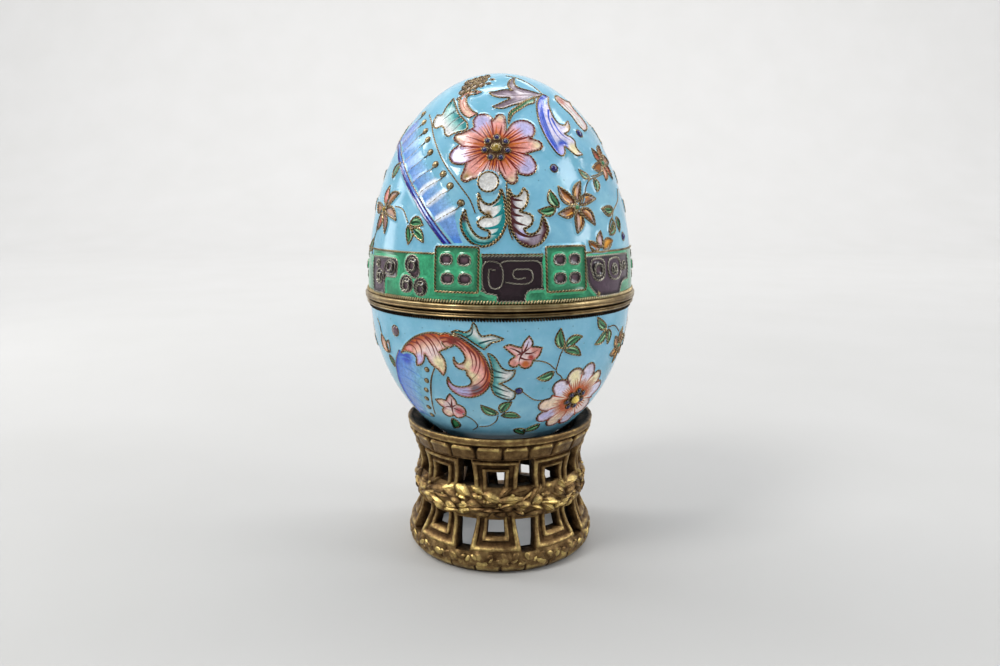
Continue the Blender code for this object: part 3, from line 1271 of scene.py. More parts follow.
@dataclass(frozen=True)
class GreatFlower:
    """An open flower with petals that run from a hot heart to cool tips.

    Attributes:
        lobes: its petals, in order, anticlockwise.
        heart: the radius at which the petals begin.
        dots: how many drops of blue glass ring the bead in the middle.
        dot_ring: the radius that they stand on.
        first_dot: the direction of the first of them.
        disc: the colour round that bead.
        root: the petals' colour where they begin.
        flush: their colour halfway.
        dome: the radius of the bead in the middle.
        dome_glaze: that bead's colour.
        dot: the drops' radius.
        blush: the petals' colour along their edges.
        vein: the colour of the veins painted on them.
    """

    lobes: Sequence[Lobe]
    heart: float = 2.6
    dots: int = 7
    dot_ring: float = 2.2
    first_dot: float = 88.0
    disc: Glaze = Glaze.BISTRE
    root: Glaze = Glaze.ORANGE
    flush: Glaze = Glaze.PINK
    dome: float = 0.85
    dome_glaze: Glaze = Glaze.OLIVE_GOLD
    dot: float = 0.5
    blush: Glaze = Glaze.PINK_PALE
    vein: Glaze = Glaze.OXBLOOD

    def edge(self) -> Array:
        """The outline round all the petals, with a sharp notch between each two."""
        stretches = []
        for number, lobe in enumerate(self.lobes):
            before = self.lobes[number - 1]
            after = self.lobes[(number + 1) % len(self.lobes)]
            start = polar(before.notch, self.between(before.angle, lobe.angle))
            end = polar(lobe.notch, self.between(lobe.angle, after.angle))
            ahead = polar(1.0, lobe.angle)
            left = np.array([-ahead[1], ahead[0]])
            sides = ((lobe.reach - 1.15 * lobe.half, 1.0), (lobe.reach - 0.3 * lobe.half, 0.66))
            right_side = [ahead * far - left * lobe.half * wide for far, wide in sides]
            left_side = [ahead * far + left * lobe.half * wide for far, wide in sides]
            stretches.append([start, *right_side, ahead * lobe.reach, *left_side[::-1], end])
        return outline(*stretches)

    @staticmethod
    def between(first: float, second: float) -> float:
        """The angle halfway between two, going anticlockwise."""
        return first + ((second - first) % 360) / 2

    def tint(self, points: Array, marks: Array) -> Array:
        """The petals' colour at each point.

        Args:
            points: points on the petals.
            marks: the outline round all of them.

        Returns:
            Colours in linear light, one row each.
        """
        reach = np.hypot(points[:, 0], points[:, 1])
        angle = np.degrees(np.arctan2(points[:, 1], points[:, 0]))
        weights, tips, starts = [], [], []
        for lobe in self.lobes:
            turn = np.abs((angle - lobe.angle + 180) % 360 - 180)
            weights.append(np.exp(-(np.radians(turn) * lobe.reach / (lobe.half + 0.7)) ** 2 * 1.6) + 1e-6)
            tips.append(lobe.glaze.light)
            starts.append(lobe.start)
        share = np.array(weights) / np.sum(weights, axis=0)
        tip = np.einsum("ln,lc->nc", share, np.array(tips))
        start = share.T @ np.array(starts)
        middle = smooth_step(reach, self.heart - 0.2, start - 1.6)[:, None]
        outer = smooth_step(reach, start - 1.8, start + 0.4)[:, None]
        root = smooth_step(reach, self.heart - 0.9, self.heart + 0.3)[:, None]
        found = self.disc.light + root * (self.root.light - self.disc.light)
        found = found + middle * (self.flush.light - found)
        found = found + outer * (tip - found)
        edge = distance_to_line(points, marks, closed=True)
        blush = (0.4 * (1 - smooth_step(edge, 0.35, 0.9)))[:, None]
        found = found + blush * (self.blush.light - found)
        dark = (1 - smooth_step(edge, 0.16, 0.42))[:, None]
        return found + dark * (Glaze.MAROON.light - found)

    def draw(self, pen: Pen) -> None:
        """Lays the flower with a pen whose chart has its origin at the flower's middle."""
        marks = self.edge()
        cell = Cell(marks, floor=0.1)
        pen.spread(marks, 0.36, cell.height, lambda knots: self.tint(knots, marks))
        pen.wire(marks, closed=True, thick=0.26)
        pen.meniscus(marks, closed=True)
        self.veins(pen, cell)
        self.draw_heart(pen)

    def veins(self, pen: Pen, cell: Cell) -> None:
        """Paints dark red veins out from the disc, more of them on the wide petals."""
        for number, lobe in enumerate(self.lobes):
            count = 5 if lobe.half > 1.3 else 2
            for vein in range(count):
                lean = (vein - (count - 1) / 2) / max(count - 1, 1)
                wave = math.sin(2.3 * vein + 1.7 * number)
                far = min(lobe.reach - 1.6, lobe.start + 0.3) * (1 - 0.22 * abs(lean) + 0.06 * wave)
                spread = lean * 1.55 * lobe.half / lobe.reach * DEGREES
                path = [polar(self.heart - 0.1, lobe.angle + spread * 1.25),
                        polar((self.heart + far) / 2, lobe.angle + spread * 1.12),
                        polar(far, lobe.angle + spread)]
                pen.stroke(path, self.root if vein % 2 else self.vein, 0.4, cell)
            after = self.lobes[(number + 1) % len(self.lobes)]
            fold = self.between(lobe.angle, after.angle)
            places = (lobe.notch, (lobe.notch + self.heart) / 2, self.heart)
            pen.stroke([polar(reach, fold) for reach in places], self.vein, 0.42, cell)

    def draw_heart(self, pen: Pen) -> None:
        """Sets the ring of drops and the bead in the middle."""
        for number in range(self.dots):
            at = polar(self.dot_ring, self.first_dot + 360 * number / self.dots)
            self.bead(pen, at, self.dot, Glaze.INK)
        self.bead(pen, np.zeros(2), self.dome, self.dome_glaze)

    @staticmethod
    def bead(pen: Pen, at: Array, radius: float, glaze: Glaze) -> None:
        """Sets a drop in a collet on top of the petals' roots.

        Args:
            pen: the flower's pen.
            at: the drop's middle.
            radius: its radius.
            glaze: its colour.
        """
        centre, normal = pen.chart.lay(np.array([at]), 0.16)
        points, faces = dome_mesh(centre[0], normal[0], radius, radius * 0.9, steps=16, rings=5)
        pen.tray.glass.add(points, faces, glaze.light)
        pen.wire(at + (radius + 0.08) * circle(24), closed=True, thick=0.17, proud=0.26)


@dataclass
class Ornament:
    """What the ornaments of the lid, the band and the bowl have in common.

    Attributes:
        half: the half of the egg that it covers.
        tray: where its parts go.
        turn: how far round the egg it is moved.
        mirrored: whether it is turned over left to right.
    """

    half: EggHalf
    tray: Tray
    turn: float = 0.0
    mirrored: bool = False

    def pen(self, azimuth: float, height: float, middle: Point = (0.0, 0.0)) -> Pen:
        """A pen for a chart.

        Args:
            azimuth: where the chart touches the egg, on the shown side.
            height: that place's height.
            middle: a place on that chart to move the origin to.

        Returns:
            The pen.
        """
        if middle != (0.0, 0.0):
            spot, _ = Chart(self.half, azimuth, height).lay(np.array([middle]))
            azimuth = math.degrees(math.atan2(spot[0, 0], -spot[0, 1]))
            height = float(spot[0, 2])
        placed = (-azimuth if self.mirrored else azimuth) + self.turn
        return Pen(self.tray, Chart(self.half, placed, height, mirrored=self.mirrored))


@dataclass
class LidOrnament(Ornament):
    """The lid's flowers, scrolls and ribbed wing."""

    def build(self) -> None:
        """Draws everything on the lid but its band."""
        self.flower()
        self.left_scroll()
        self.right_scroll()
        self.wing()
        self.curl_and_leaf()
        self.acanthus()
        self.blue_plume()
        self.amber_flower()
        self.upper_amber_flower()
        self.left_amber_flower()
        self.green_trio()
        if not self.mirrored:
            self.side_sprig(90.0)
            self.side_sprig(-90.0)

    def side_sprig(self, azimuth: float) -> None:
        """The plain climbing sprig between the two designs, on one side of the lid.

        Args:
            azimuth: the side.
        """
        pen = self.pen(azimuth, 82.0)
        lean = math.copysign(1.0, azimuth)
        for base, tip in (((-0.8, -5.8), (-4.3, -3.4)), ((-0.5, -3.0), (3.1, -0.8)),
                          ((0.7, 0.6), (-2.6, 3.0)), ((0.9, 3.6), (3.9, 6.2))):
            pen.green_leaves(((lean * base[0], base[1]), (lean * tip[0], tip[1]), 0.9))
        pen.stem([(lean * x, y) for x, y in (
            (0.9, -10.4), (-0.6, -7.6), (-0.8, -4.6), (0.3, -1.4), (0.9, 2.2), (0.5, 5.4), (0.0, 8.2))])
        pen.rosette((0.0, 11.4), 90.0, 3.4, 0.95, Glaze.CARNELIAN, Glaze.PEACH)
        pen.jewel((0.0, 11.4), 0.55, Glaze.NAVY)
        pen.jewel((lean * 4.0, -5.6), 0.75, Glaze.COBALT)

    def flower(self) -> None:
        """The great flower in the middle."""
        lobes = (
            Lobe(9.0, 8.8, 1.15, Glaze.CREAM, 6.7, 8.0), Lobe(40.0, 8.9, 2.3, Glaze.LILAC, 3.9),
            Lobe(84.7, 7.6, 1.0, Glaze.CREAM, 6.0, 7.2), Lobe(115.0, 8.4, 2.0, Glaze.LILAC, 6.5, 6.0),
            Lobe(158.5, 8.7, 1.05, Glaze.CREAM, 6.8, 8.0), Lobe(188.0, 9.0, 2.1, Glaze.LILAC, 6.3),
            Lobe(225.0, 8.9, 1.15, Glaze.OLIVE_GOLD, 6.7, 7.8), Lobe(260.0, 7.2, 1.5, Glaze.PEARL, 4.8, 5.2),
            Lobe(296.0, 7.9, 1.2, Glaze.CREAM, 6.1, 7.4), Lobe(329.0, 8.5, 2.2, Glaze.LILAC, 5.4))
        pen = self.pen(-1.5, 88.4, (-0.1, 0.0))
        GreatFlower(lobes).draw(pen)
        petal = np.array((-1.4, -6.9)) + 1.9 * circle(40)
        pen.cell(petal, Shade(((0.0, Glaze.PEARL),)), floor=0.3)

    def left_scroll(self) -> None:
        """The teal and white leaf scroll under the flower."""
        pen = self.pen(3.0, 75.0)
        spine = ((-0.7, 4.6), (-0.4, 3.0), (-0.3, 1.5), (-0.2, 0), (-0.6, -1.5), (-1.5, -3.2), (-2.8, -4.3),
                 (-4.5, -4.8), (-6.2, -4.4), (-7.6, -3.2), (-8.5, -1.6), (-8.7, 0), (-8.4, 1.2), (-7.9, 2.2))
        marks = outline(
            spine,
            ((-7.9, 2.2), (-7.7, 1.0), (-7.3, -0.3), (-6.6, -1.8), (-5.6, -2.9), (-4.5, -3.3), (-3.5, -3.1),
             (-3.4, -2.4)),
            ((-3.4, -2.4), (-3.5, -2.0), (-4.3, -1.7), (-5.3, -1.1), (-5.6, -0.3), (-5.0, 0.4), (-3.9, 0.7),
             (-2.8, 0.6)),
            ((-2.8, 0.6), (-3.5, 0.9), (-4.3, 1.3), (-5.0, 1.9), (-5.4, 3.2), (-5.3, 5.3)),
            ((-5.3, 5.3), (-5.0, 4.2), (-4.4, 3.4), (-3.3, 3.0), (-2.2, 3.6), (-1.5, 4.6), (-1.2, 6.0)),
            ((-1.2, 6.0), (-0.7, 4.6)))
        cell = pen.cell(marks, Shade(
            ((0.0, Glaze.TEAL), (0.7, Glaze.TEAL), (1.05, Glaze.TEAL_PALE), (1.6, Glaze.PEARL)), spine[:12],
            washes=(((-8.0, 0.6), 0.9, Glaze.UMBER), ((-3.6, 1.3), 0.7, Glaze.OCHRE))), thick=0.35)
        pen.strokes(Glaze.TEAL, 0.95, cell,
                    ((-0.5, 4.4), (-1.3, 3.4), (-2.8, 2.6)), ((-0.5, 2.6), (-1.2, 1.5), (-2.7, 0.5)),
                    ((-0.4, 1.2), (-1.4, -0.8), (-3.0, -1.4), (-5.2, -1.3)),
                    ((-0.9, -0.6), (-1.8, -2.2), (-3.2, -2.7)))
        pen.stroke(((-1.0, -2.4), (-2.6, -3.8), (-4.6, -4.2), (-6.4, -3.6), (-7.8, -1.6)), Glaze.TEAL_DEEP,
                   0.4, cell)

    def right_scroll(self) -> None:
        """The maroon and pink leaf scroll beside it, and the wires that part the two."""
        pen = self.pen(3.0, 75.0)
        spine = ((7.2, -0.2), (7.6, -1.6), (7.0, -3.2), (5.8, -4.4), (4.2, -4.9), (2.6, -4.5), (1.4, -3.2),
                 (0.6, -1.6), (0.35, 0.5), (0.3, 3.0), (0.3, 5.0), (0.3, 6.0))
        marks = outline(
            ((0.3, 6.0), (0.6, 5.2), (1.2, 4.6), (2.0, 4.6), (2.6, 5.2), (3.0, 6.1)),
            ((3.0, 6.1), (3.7, 5.4), (3.8, 4.0), (3.3, 2.6), (2.2, 1.7)),
            ((2.2, 1.7), (3.4, 1.4), (4.4, 1.0), (4.7, 0.2), (4.4, -0.7), (3.7, -1.3), (3.0, -1.6)),
            ((3.0, -1.6), (3.4, -2.3), (4.3, -2.6), (5.2, -2.3), (6.0, -1.4), (6.3, -0.2), (6.6, 1.0)),
            ((6.6, 1.0), *spine))
        cell = pen.cell(marks, Shade(
            ((0.0, Glaze.UMBER), (0.65, Glaze.UMBER), (0.95, Glaze.DUSK), (1.5, Glaze.PEARL)), spine,
            washes=(((2.6, -2.6), 1.1, Glaze.LILAC), ((5.0, -3.4), 1.4, Glaze.DUSK),
                    ((3.3, 2.9), 1.0, Glaze.PEARL))), thick=0.35)
        pen.strokes(Glaze.UMBER, 0.7, cell,
                    ((0.7, 4.4), (1.3, 4.0), (2.9, 3.7)), ((0.7, 3.1), (1.3, 2.5), (2.8, 2.1)),
                    ((0.8, 1.6), (1.3, 1.1), (3.0, 0.8)), ((0.8, 0.3), (1.6, -0.4), (3.6, -1.0)),
                    ((1.0, -1.4), (2.2, -2.4), (4.0, -3.0), (6.2, -2.5)))
        pen.wire(smooth_curve(((-0.1, 7.2), (-0.1, 4.0), (0.05, 1.0), (0.2, -1.6), (0.9, -3.6))))

    def wing(self) -> None:
        """The ribbed blue wing that sweeps down the left."""
        pen = self.pen(-42.0, 80.0)
        edge = ((-13, 12.6), (-11, 11.5), (-9, 10.1), (-7, 8.0), (-5, 6.1), (-3, 4.1), (-1, 2.1), (1, 0.2),
                (3, -1.8), (5, -3.9), (7, -5.8), (9, -7.7), (10.9, -9.5))
        ribs = (
            ((-5.6, 17.2), (-7.9, 15.2), (-10.2, 13.4), (-11.4, 12.2)),
            ((-3.8, 14.8), (-6, 13), (-8.2, 11.3), (-9.4, 10.5)),
            ((-1.8, 12.6), (-3.6, 11), (-5.8, 9.4), (-7.2, 8.4)),
            ((0, 10.4), (-1.8, 8.6), (-3.9, 7.0), (-4.9, 6.2)),
            ((2.0, 7.6), (0.3, 6.2), (-1.5, 4.9), (-2.4, 4.0)),
            ((4.4, 5.1), (2.5, 3.8), (0.6, 2.4), (-0.1, 1.4)),
            ((7.0, 3.2), (5.2, 1.9), (3.2, 0.5), (2.5, -0.5)),
            ((9.1, 1.1), (7.6, 0), (6.3, -1.3), (5.0, -2.4)),
            ((11.6, -1.9), (10.2, -3.2), (8.6, -4.3), (7.4, -5.2)))
        grains = ((-5.6, 18), (-3.2, 15.5), (-1.2, 13.2), (0.6, 11.2), (2.6, 8.4), (4.8, 5.9), (7.1, 4.1),
                  (9.1, 1.9), (11.8, -1.1))
        toe = ((10.9, -9.5), (13.0, -10.0), (14.9, -9.8))
        shore = [rib[0] for rib in ribs] + [(11.6, -3.3), (12.0, -4.8), (12.9, -7.1), (14.0, -8.8), toe[-1]]
        marks = outline(ribs[0], (ribs[0][-1], *edge[1:]), toe, shore[::-1])
        walls = [smooth_curve(line) for line in (*ribs, edge)]
        # The pale streaks just above the lower ribs are a painted highlight: the reflection that the dished
        # enamel there shows.
        highlight_streaks = [[(x + 0.35, y + 0.5) for x, y in rib[1:]] for rib in ribs[6:]]
        pen.fill(Cell(marks, walls=walls, shore=smooth_curve(shore)), Shade(
            ((0.0, Glaze.BLUE), (0.35, Glaze.BLUE_SOFT), (0.7, Glaze.SKY), (0.95, Glaze.TURQUOISE)),
            edge, shore,
            washes=(((-8.6, 14.0), 4.2, Glaze.PERIWINKLE), ((11.4, -7.4), 4.6, Glaze.BLUE_SOFT),
                    ((11.8, -9.2), 2.2, Glaze.BLUE), *[(line, 0.8, Glaze.PAINTED_HIGHLIGHT) for line in highlight_streaks])))
        for rib, at in zip(ribs, grains):
            pen.wire(smooth_curve((at, *rib)), silver=True, thick=0.16)
            pen.grain(at, 0.52)
        self.wing_border(pen, edge)
        pen.stem(((-2.6, 17.2), (-0.3, 15), (1.5, 12.5), (3.8, 9.6), (6.2, 6.8), (8.6, 4.4), (11.2, 1.9),
                  (13.3, -0.3), (14.6, -2.6)))

    def wing_border(self, pen: Pen, edge: Sequence[Point]) -> None:
        """The navy line, between two wires, that edges the wing.

        Args:
            pen: the wing's pen.
            edge: the line's middle.
        """
        line = smooth_curve(edge)
        half_width = 0.6 * right_at(line)
        marks = np.vstack([line + half_width, (line - half_width)[::-1]])
        marks = marks if signed_area(marks) > 0 else marks[::-1]
        pen.cell(marks, Shade(((0.0, Glaze.NAVY),)), thick=0.17)

    def curl_and_leaf(self) -> None:
        """The red curl, the pale leaf and the ear of grain at the upper left."""
        pen = self.pen(-22.0, 95.0)
        curl = outline(
            ((-0.5, 5.6), (-0.6, 4.3), (-0.1, 3.0), (0.8, 1.8), (1.8, 0.8), (2.9, 0.2)),
            ((2.9, 0.2), (1.5, -0.9)),
            ((1.5, -0.9), (0.4, -0.3), (-0.6, 0.7), (-1.4, 2.0), (-2.0, 3.5), (-2.2, 5.0), (-1.5, 6.2),
             (-0.6, 6.5), (0.6, 6.7), (2.0, 6.4)),
            ((2.0, 6.4), (0.9, 5.6), (-0.5, 5.6)))
        cell = pen.cell(curl, Shade(((0.0, Glaze.ROSE), (0.3, Glaze.SALMON), (0.8, Glaze.SAND))))
        pen.stroke(((-1.3, 5.0), (-1.2, 3.6), (-0.5, 2.1), (0.6, 0.9)), Glaze.RED, 0.3, cell)
        spine = ((-3.8, 5.0), (-2.8, 3.3), (-2.0, 1.8), (-1.0, 0.2), (0.3, -1.1), (1.4, -2.2), (1.7, -3.3))
        leaf = outline(
            spine[::-1],
            ((-3.8, 5.0), (-4.6, 2.6), (-5.0, 0.6), (-6.2, 1.0)),
            ((-6.2, 1.0), (-6.6, -0.5), (-6.0, -2.2), (-5.2, -2.6), (-4.2, -2.3)),
            ((-4.2, -2.3), (-3.3, -3.2), (-2.9, -4.3), (-2.0, -5.0), (-1.0, -4.5)),
            ((-1.0, -4.5), (0.2, -4.1), (1.2, -3.9), (1.7, -3.3)))
        cell = pen.cell(leaf, Shade(
            ((0.0, Glaze.TEAL), (0.9, Glaze.TEAL), (1.7, Glaze.TEAL_PALE), (3.4, Glaze.PEARL)), spine))
        pen.strokes(Glaze.TEAL_DEEP, 0.46, cell,
                    ((-1.8, 1.4), (-3.2, 0.4), (-4.8, -1.0)), ((-0.6, -0.4), (-2.0, -1.6), (-3.0, -3.0)),
                    ((0.6, -1.6), (-0.4, -2.6), (-1.4, -3.8)))
        pen = self.pen(0.0, 100.0)
        for row in range(3):
            for column in range(4):
                base = (-7.6 + 1.25 * column + 0.5 * row, 0.4 + 0.4 * column + 1.9 * row)
                tip = (base[0] + 0.5, base[1] + 2.4)
                pen.leaf(base, tip, 0.6, Glaze.BISTRE, Glaze.OCHRE, bend=0.04)
        for at in ((-8.1, -0.6), (-6.3, -0.4), (-4.9, 0.4), (-2.3, 2.8), (-1.6, 4.6)):
            pen.jewel(at, 0.42, Glaze.BISTRE, rise=0.35)

    def acanthus(self) -> None:
        """The pale pink leaf across the top."""
        pen = self.pen(0.0, 100.0)
        marks = outline(
            ((-2.1, -0.6), (-1.7, -1.5), (-0.8, -2.2), (0.3, -2.5), (1.5, -2.4), (2.1, -2.5)),
            ((2.1, -2.5), (1.2, -3.3), (0.2, -4.0), (-0.7, -4.6), (-1.4, -5.0)),
            ((-1.4, -5.0), (-0.6, -5.4), (0.6, -5.5), (1.6, -5.0), (2.6, -4.4), (3.5, -4.0), (4.3, -3.4),
             (5.0, -2.6), (6.0, -1.8), (6.8, -1.0), (7.6, -0.2), (8.3, 0.8)),
            ((8.3, 0.8), (7.0, 0.9), (5.5, 1.0), (4.2, 1.2), (3.3, 1.7), (2.9, 2.6), (2.8, 4.0), (2.8, 5.6)),
            ((2.8, 5.6), (2.1, 4.4), (1.7, 3.0), (1.6, 1.6), (2.0, 0.5), (2.6, -0.1)),
            ((2.6, -0.1), (1.4, 0.2), (0.2, -0.1), (-0.9, -0.6), (-2.1, -0.6)))
        cell = pen.cell(marks, Shade(
            ((0.0, Glaze.MAUVE), (0.45, Glaze.MAUVE), (1.1, Glaze.DUSK), (2.4, Glaze.PINK_PALE)),
            washes=(((6.2, -0.4), 2.0, Glaze.DUSK),)))
        pen.strokes(Glaze.MAUVE, 0.5, cell,
                    ((7.4, 0.3), (5.0, -0.6), (2.6, -1.4), (-0.6, -1.4)),
                    ((6.0, -0.9), (4.0, -2.6), (1.8, -3.9), (-0.2, -4.8)),
                    ((4.8, 0.2), (3.2, 0.8), (2.3, 2.0), (2.3, 4.0)))
        pen.stem(((8.4, 1.2), (6.8, 3.2), (4.2, 5.4), (1.2, 6.8)))

    def blue_plume(self) -> None:
        """The blue and cream plume at the upper right, its leaf and its stem."""
        pen = self.pen(32.0, 92.0)
        outer = ((0.3, 9.5), (-1.2, 8.0), (-2.3, 6.2), (-3.0, 4.2), (-3.4, 2.0), (-3.4, 0.2), (-3.1, -1.8),
                 (-2.5, -3.6), (-1.6, -5.2), (-0.6, -5.6), (0.1, -5.0), (0.4, -3.5))
        marks = outline(
            outer,
            ((0.4, -3.5), (1.0, -3.9), (1.8, -4.6), (3.0, -5.3), (4.7, -4.9)),
            ((4.7, -4.9), (3.8, -4.2), (3.4, -3.2), (3.6, -2.2), (3.0, -1.4), (2.0, -1.0), (1.4, -0.6)),
            ((1.4, -0.6), (2.0, -0.4), (2.8, 0.1), (3.5, 1.0), (3.8, 2.7)),
            ((3.8, 2.7), (3.0, 2.0), (2.2, 1.4), (1.2, 1.5), (0.6, 2.2), (0.3, 3.2), (0.3, 4.5), (0.5, 6.0),
             (1.0, 7.5), (1.8, 8.8)),
            ((1.8, 8.8), (1.0, 9.5), (0.3, 9.5)))
        cell = pen.cell(marks, Shade(
            ((0.0, Glaze.BLUE_DEEP), (1.0, Glaze.BLUE_DEEP), (1.35, Glaze.PERIWINKLE),
             (1.8, Glaze.LILAC_PALE)), outer,
            washes=(((2.8, -4.0), 1.6, Glaze.CREAM), ((0.0, -4.4), 1.3, Glaze.LILAC),
                    ((3.1, 1.1), 0.8, Glaze.SAND), ((0.6, 7.4), 1.0, Glaze.BLUE_SOFT))))
        pen.strokes(Glaze.BLUE_DEEP, 0.44, cell,
                    ((-0.2, 7.6), (-1.4, 5.2), (-1.9, 2.4), (-1.8, -0.6), (-1.2, -3.4)),
                    ((0.0, 5.2), (-0.8, 3.0), (-0.8, 0.6), (-0.2, -1.4), (1.2, -3.0)),
                    ((-0.2, 3.0), (0.2, 0.6), (1.0, -1.0), (2.6, -2.0)),
                    ((-2.6, 4.2), (-2.8, 1.4), (-2.5, -1.6), (-1.8, -3.8)))
        leaf = outline(
            ((4.0, 9.5), (3.6, 8.2), (4.5, 6.2), (5.8, 4.5), (6.5, 2.6), (8.0, 1.2)),
            ((8.0, 1.2), (9.4, 2.2), (10.2, 3.6), (9.6, 5.4)),
            ((9.6, 5.4), (8.6, 6.6), (8.2, 8.0), (8.8, 9.8)),
            ((8.8, 9.8), (7.2, 9.4), (6.0, 9.6), (5.0, 10.2), (4.0, 9.5)))
        cell = pen.cell(leaf, Shade(
            ((0.0, Glaze.SALMON), (0.3, Glaze.PINK_PALE), (1.1, Glaze.PEARL)),
            washes=(((5.2, 8.6), 1.2, Glaze.SALMON),)))
        pen.strokes(Glaze.SALMON, 0.4, cell,
                    ((4.8, 9.0), (6.2, 6.6), (7.6, 4.4), (8.2, 2.4)), ((5.6, 9.2), (7.2, 7.4), (8.8, 5.4)))
        stem = outline(
            ((-9.4, 2.4), (-8.0, 4.3), (-6.0, 5.5), (-4.0, 6.5), (-2.6, 6.9), (-1.7, 8.6)),
            ((-1.7, 8.6), (-3.2, 7.9), (-4.6, 7.3), (-6.2, 6.3), (-8.3, 5.0), (-9.4, 2.4)))
        pen.cell(stem, Shade(((0.0, Glaze.GREEN_DEEP), (0.3, Glaze.LEAF), (0.6, Glaze.LEAF_PALE))))
        pen.jewel((-3.2, -8.1), 0.72, Glaze.COBALT)
        pen.jewel((5.9, 0.1), 0.8, Glaze.COBALT)

    def amber_flower(self) -> None:
        """The amber flower at the right, its stem, leaves and bud."""
        pen = self.pen(38.0, 75.0)
        pen.stem(((-1.0, 3.0), (0.2, 5.0), (1.0, 6.5), (2.0, 7.6), (3.0, 8.1), (5.0, 8.6), (8.0, 9.6)))
        pen.stem(((-0.5, -5.0), (1.5, -6.3), (3.0, -6.5), (5.0, -6.2), (6.6, -5.0)))
        for base, tip, half in (((-2.6, 3.1), (-5.8, 6.6), 1.1), ((-2.1, 3.4), (-0.3, 7.5), 0.9),
                                ((-1.6, 2.9), (3.1, 4.1), 0.95), ((-1.6, 2.0), (1.8, -1.2), 1.05),
                                ((-2.4, 1.7), (-3.1, -2.6), 1.05), ((-2.9, 2.3), (-6.8, 1.3), 0.95)):
            pen.leaf(base, tip, half, Glaze.AMBER_DEEP, Glaze.AMBER, glint=Glaze.AMBER_PALE, margin=0.42)
        pen.jewel((-2.3, 2.4), 0.5, Glaze.LEAF)
        pen.green_leaves(
            ((-6.5, 2.6), (-7.7, 6.0), 0.9), ((-7.1, 2.4), (-10.6, 2.2), 0.85), ((2.5, 8.3), (0.0, 9.9), 0.6),
            ((4.1, 8.2), (4.0, 5.5), 0.9), ((8.6, 2.3), (5.0, 2.3), 0.85), ((8.5, -0.4), (6.2, -3.1), 0.85))
        pen.leaf((2.4, -5.8), (-0.4, -4.2), 0.9, Glaze.AMBER_DEEP, Glaze.AMBER)
        pen.leaf((3.0, -5.6), (3.2, -2.3), 0.9, Glaze.MAROON, Glaze.PINK_PALE)
        pen.leaf((3.6, -5.8), (7.1, -4.2), 0.85, Glaze.AMBER, Glaze.AMBER_PALE)

    def upper_amber_flower(self) -> None:
        """The amber flower near the right edge, with its leaves."""
        pen = self.pen(58.0, 82.0)
        pen.stem(((-5.6, 1.5), (-2.5, 2.0), (0.0, 3.2)))
        middle = np.array([0.6, 4.3])
        for tip, edge, heart in (
                ((-1.8, 7.4), Glaze.AMBER_DEEP, Glaze.CARNELIAN), ((2.6, 8.3), Glaze.AMBER_DEEP, Glaze.AMBER),
                ((5.2, 4.9), Glaze.AMBER_DEEP, Glaze.AMBER), ((3.6, 1.0), Glaze.AMBER_DEEP, Glaze.CARNELIAN),
                ((-0.6, 0.6), Glaze.CARNELIAN, Glaze.PEACH), ((-4.3, 3.3), Glaze.AMBER_DEEP, Glaze.AMBER)):
            ahead = np.array(tip) - middle
            base = middle + ahead / np.linalg.norm(ahead) * 0.7
            pen.leaf(tuple(base), tip, 1.0, edge, heart)
        pen.jewel((0.6, 4.3), 0.5, Glaze.LEAF)
        pen.green_leaves(((-0.9, -5.5), (-5.0, -5.1), 0.9))
        pen.leaf((-1.6, -7.2), (-3.8, -9.8), 0.8, Glaze.LEAF_DEEP, Glaze.LEAF)
        pen.leaf((0.2, -7.0), (0.9, -10.0), 0.9, Glaze.LEAF_DEEP, Glaze.LEAF)
        pen.stem(((5.4, -1.0), (3.6, -3.2), (1.4, -4.6), (-0.6, -5.8), (-1.4, -7.0)))
        pen.jewel((2.7, -11.0), 0.78, Glaze.COBALT)

    def left_amber_flower(self) -> None:
        """The amber flower at the left edge, its stem and its leaf."""
        pen = self.pen(-60.0, 75.0)
        for base, tip, half, edge, heart in (
                ((0.4, 2.8), (0.3, 6.7), 1.1, Glaze.RED, Glaze.PINK),
                ((0.9, 2.5), (5.0, 5.3), 1.0, Glaze.AMBER_DEEP, Glaze.AMBER),
                ((0.9, 1.7), (5.9, -0.2), 0.95, Glaze.AMBER_DEEP, Glaze.AMBER),
                ((0.4, 1.1), (2.2, -3.1), 0.9, Glaze.AMBER_DEEP, Glaze.OXBLOOD),
                ((-0.5, 1.2), (-2.5, -2.5), 1.1, Glaze.AMBER_DEEP, Glaze.CARNELIAN),
                ((-0.7, 2.1), (-5.5, 3.3), 1.0, Glaze.AMBER_DEEP, Glaze.AMBER)):
            pen.leaf(base, tip, half, edge, heart, margin=0.4)
        pen.jewel((0.0, 1.9), 0.6, Glaze.OLIVE_GOLD)
        pen.green_leaves(((-3.4, -4.4), (-7.4, -6.6), 0.9))
        pen.stem(((-2.4, -2.6), (-3.6, -4.6), (-3.9, -7.6)))
        pen = self.pen(-42.0, 80.0)
        pen.stem(((-3.9, -2.6), (-2.0, -2.9), (-0.8, -3.5), (0.1, -4.6), (0.9, -5.8)))
        pen.leaf((-7.6, 3.6), (-5.4, 6.6), 1.0, Glaze.LEAF_DEEP, Glaze.LEAF)

    def green_trio(self) -> None:
        """Three leaves on one joint, below the wing."""
        pen = self.pen(-30.0, 75.5)
        pen.green_leaves(((-4.3, -1.3), (-0.9, -1.6), 0.95), bend=0.16)
        pen.green_leaves(((-4.7, -1.7), (-4.3, -5.3), 0.9), ((-3.7, -2.4), (-0.5, -4.9), 0.85))
        pen.grain((-4.1, -2.0), 0.34)


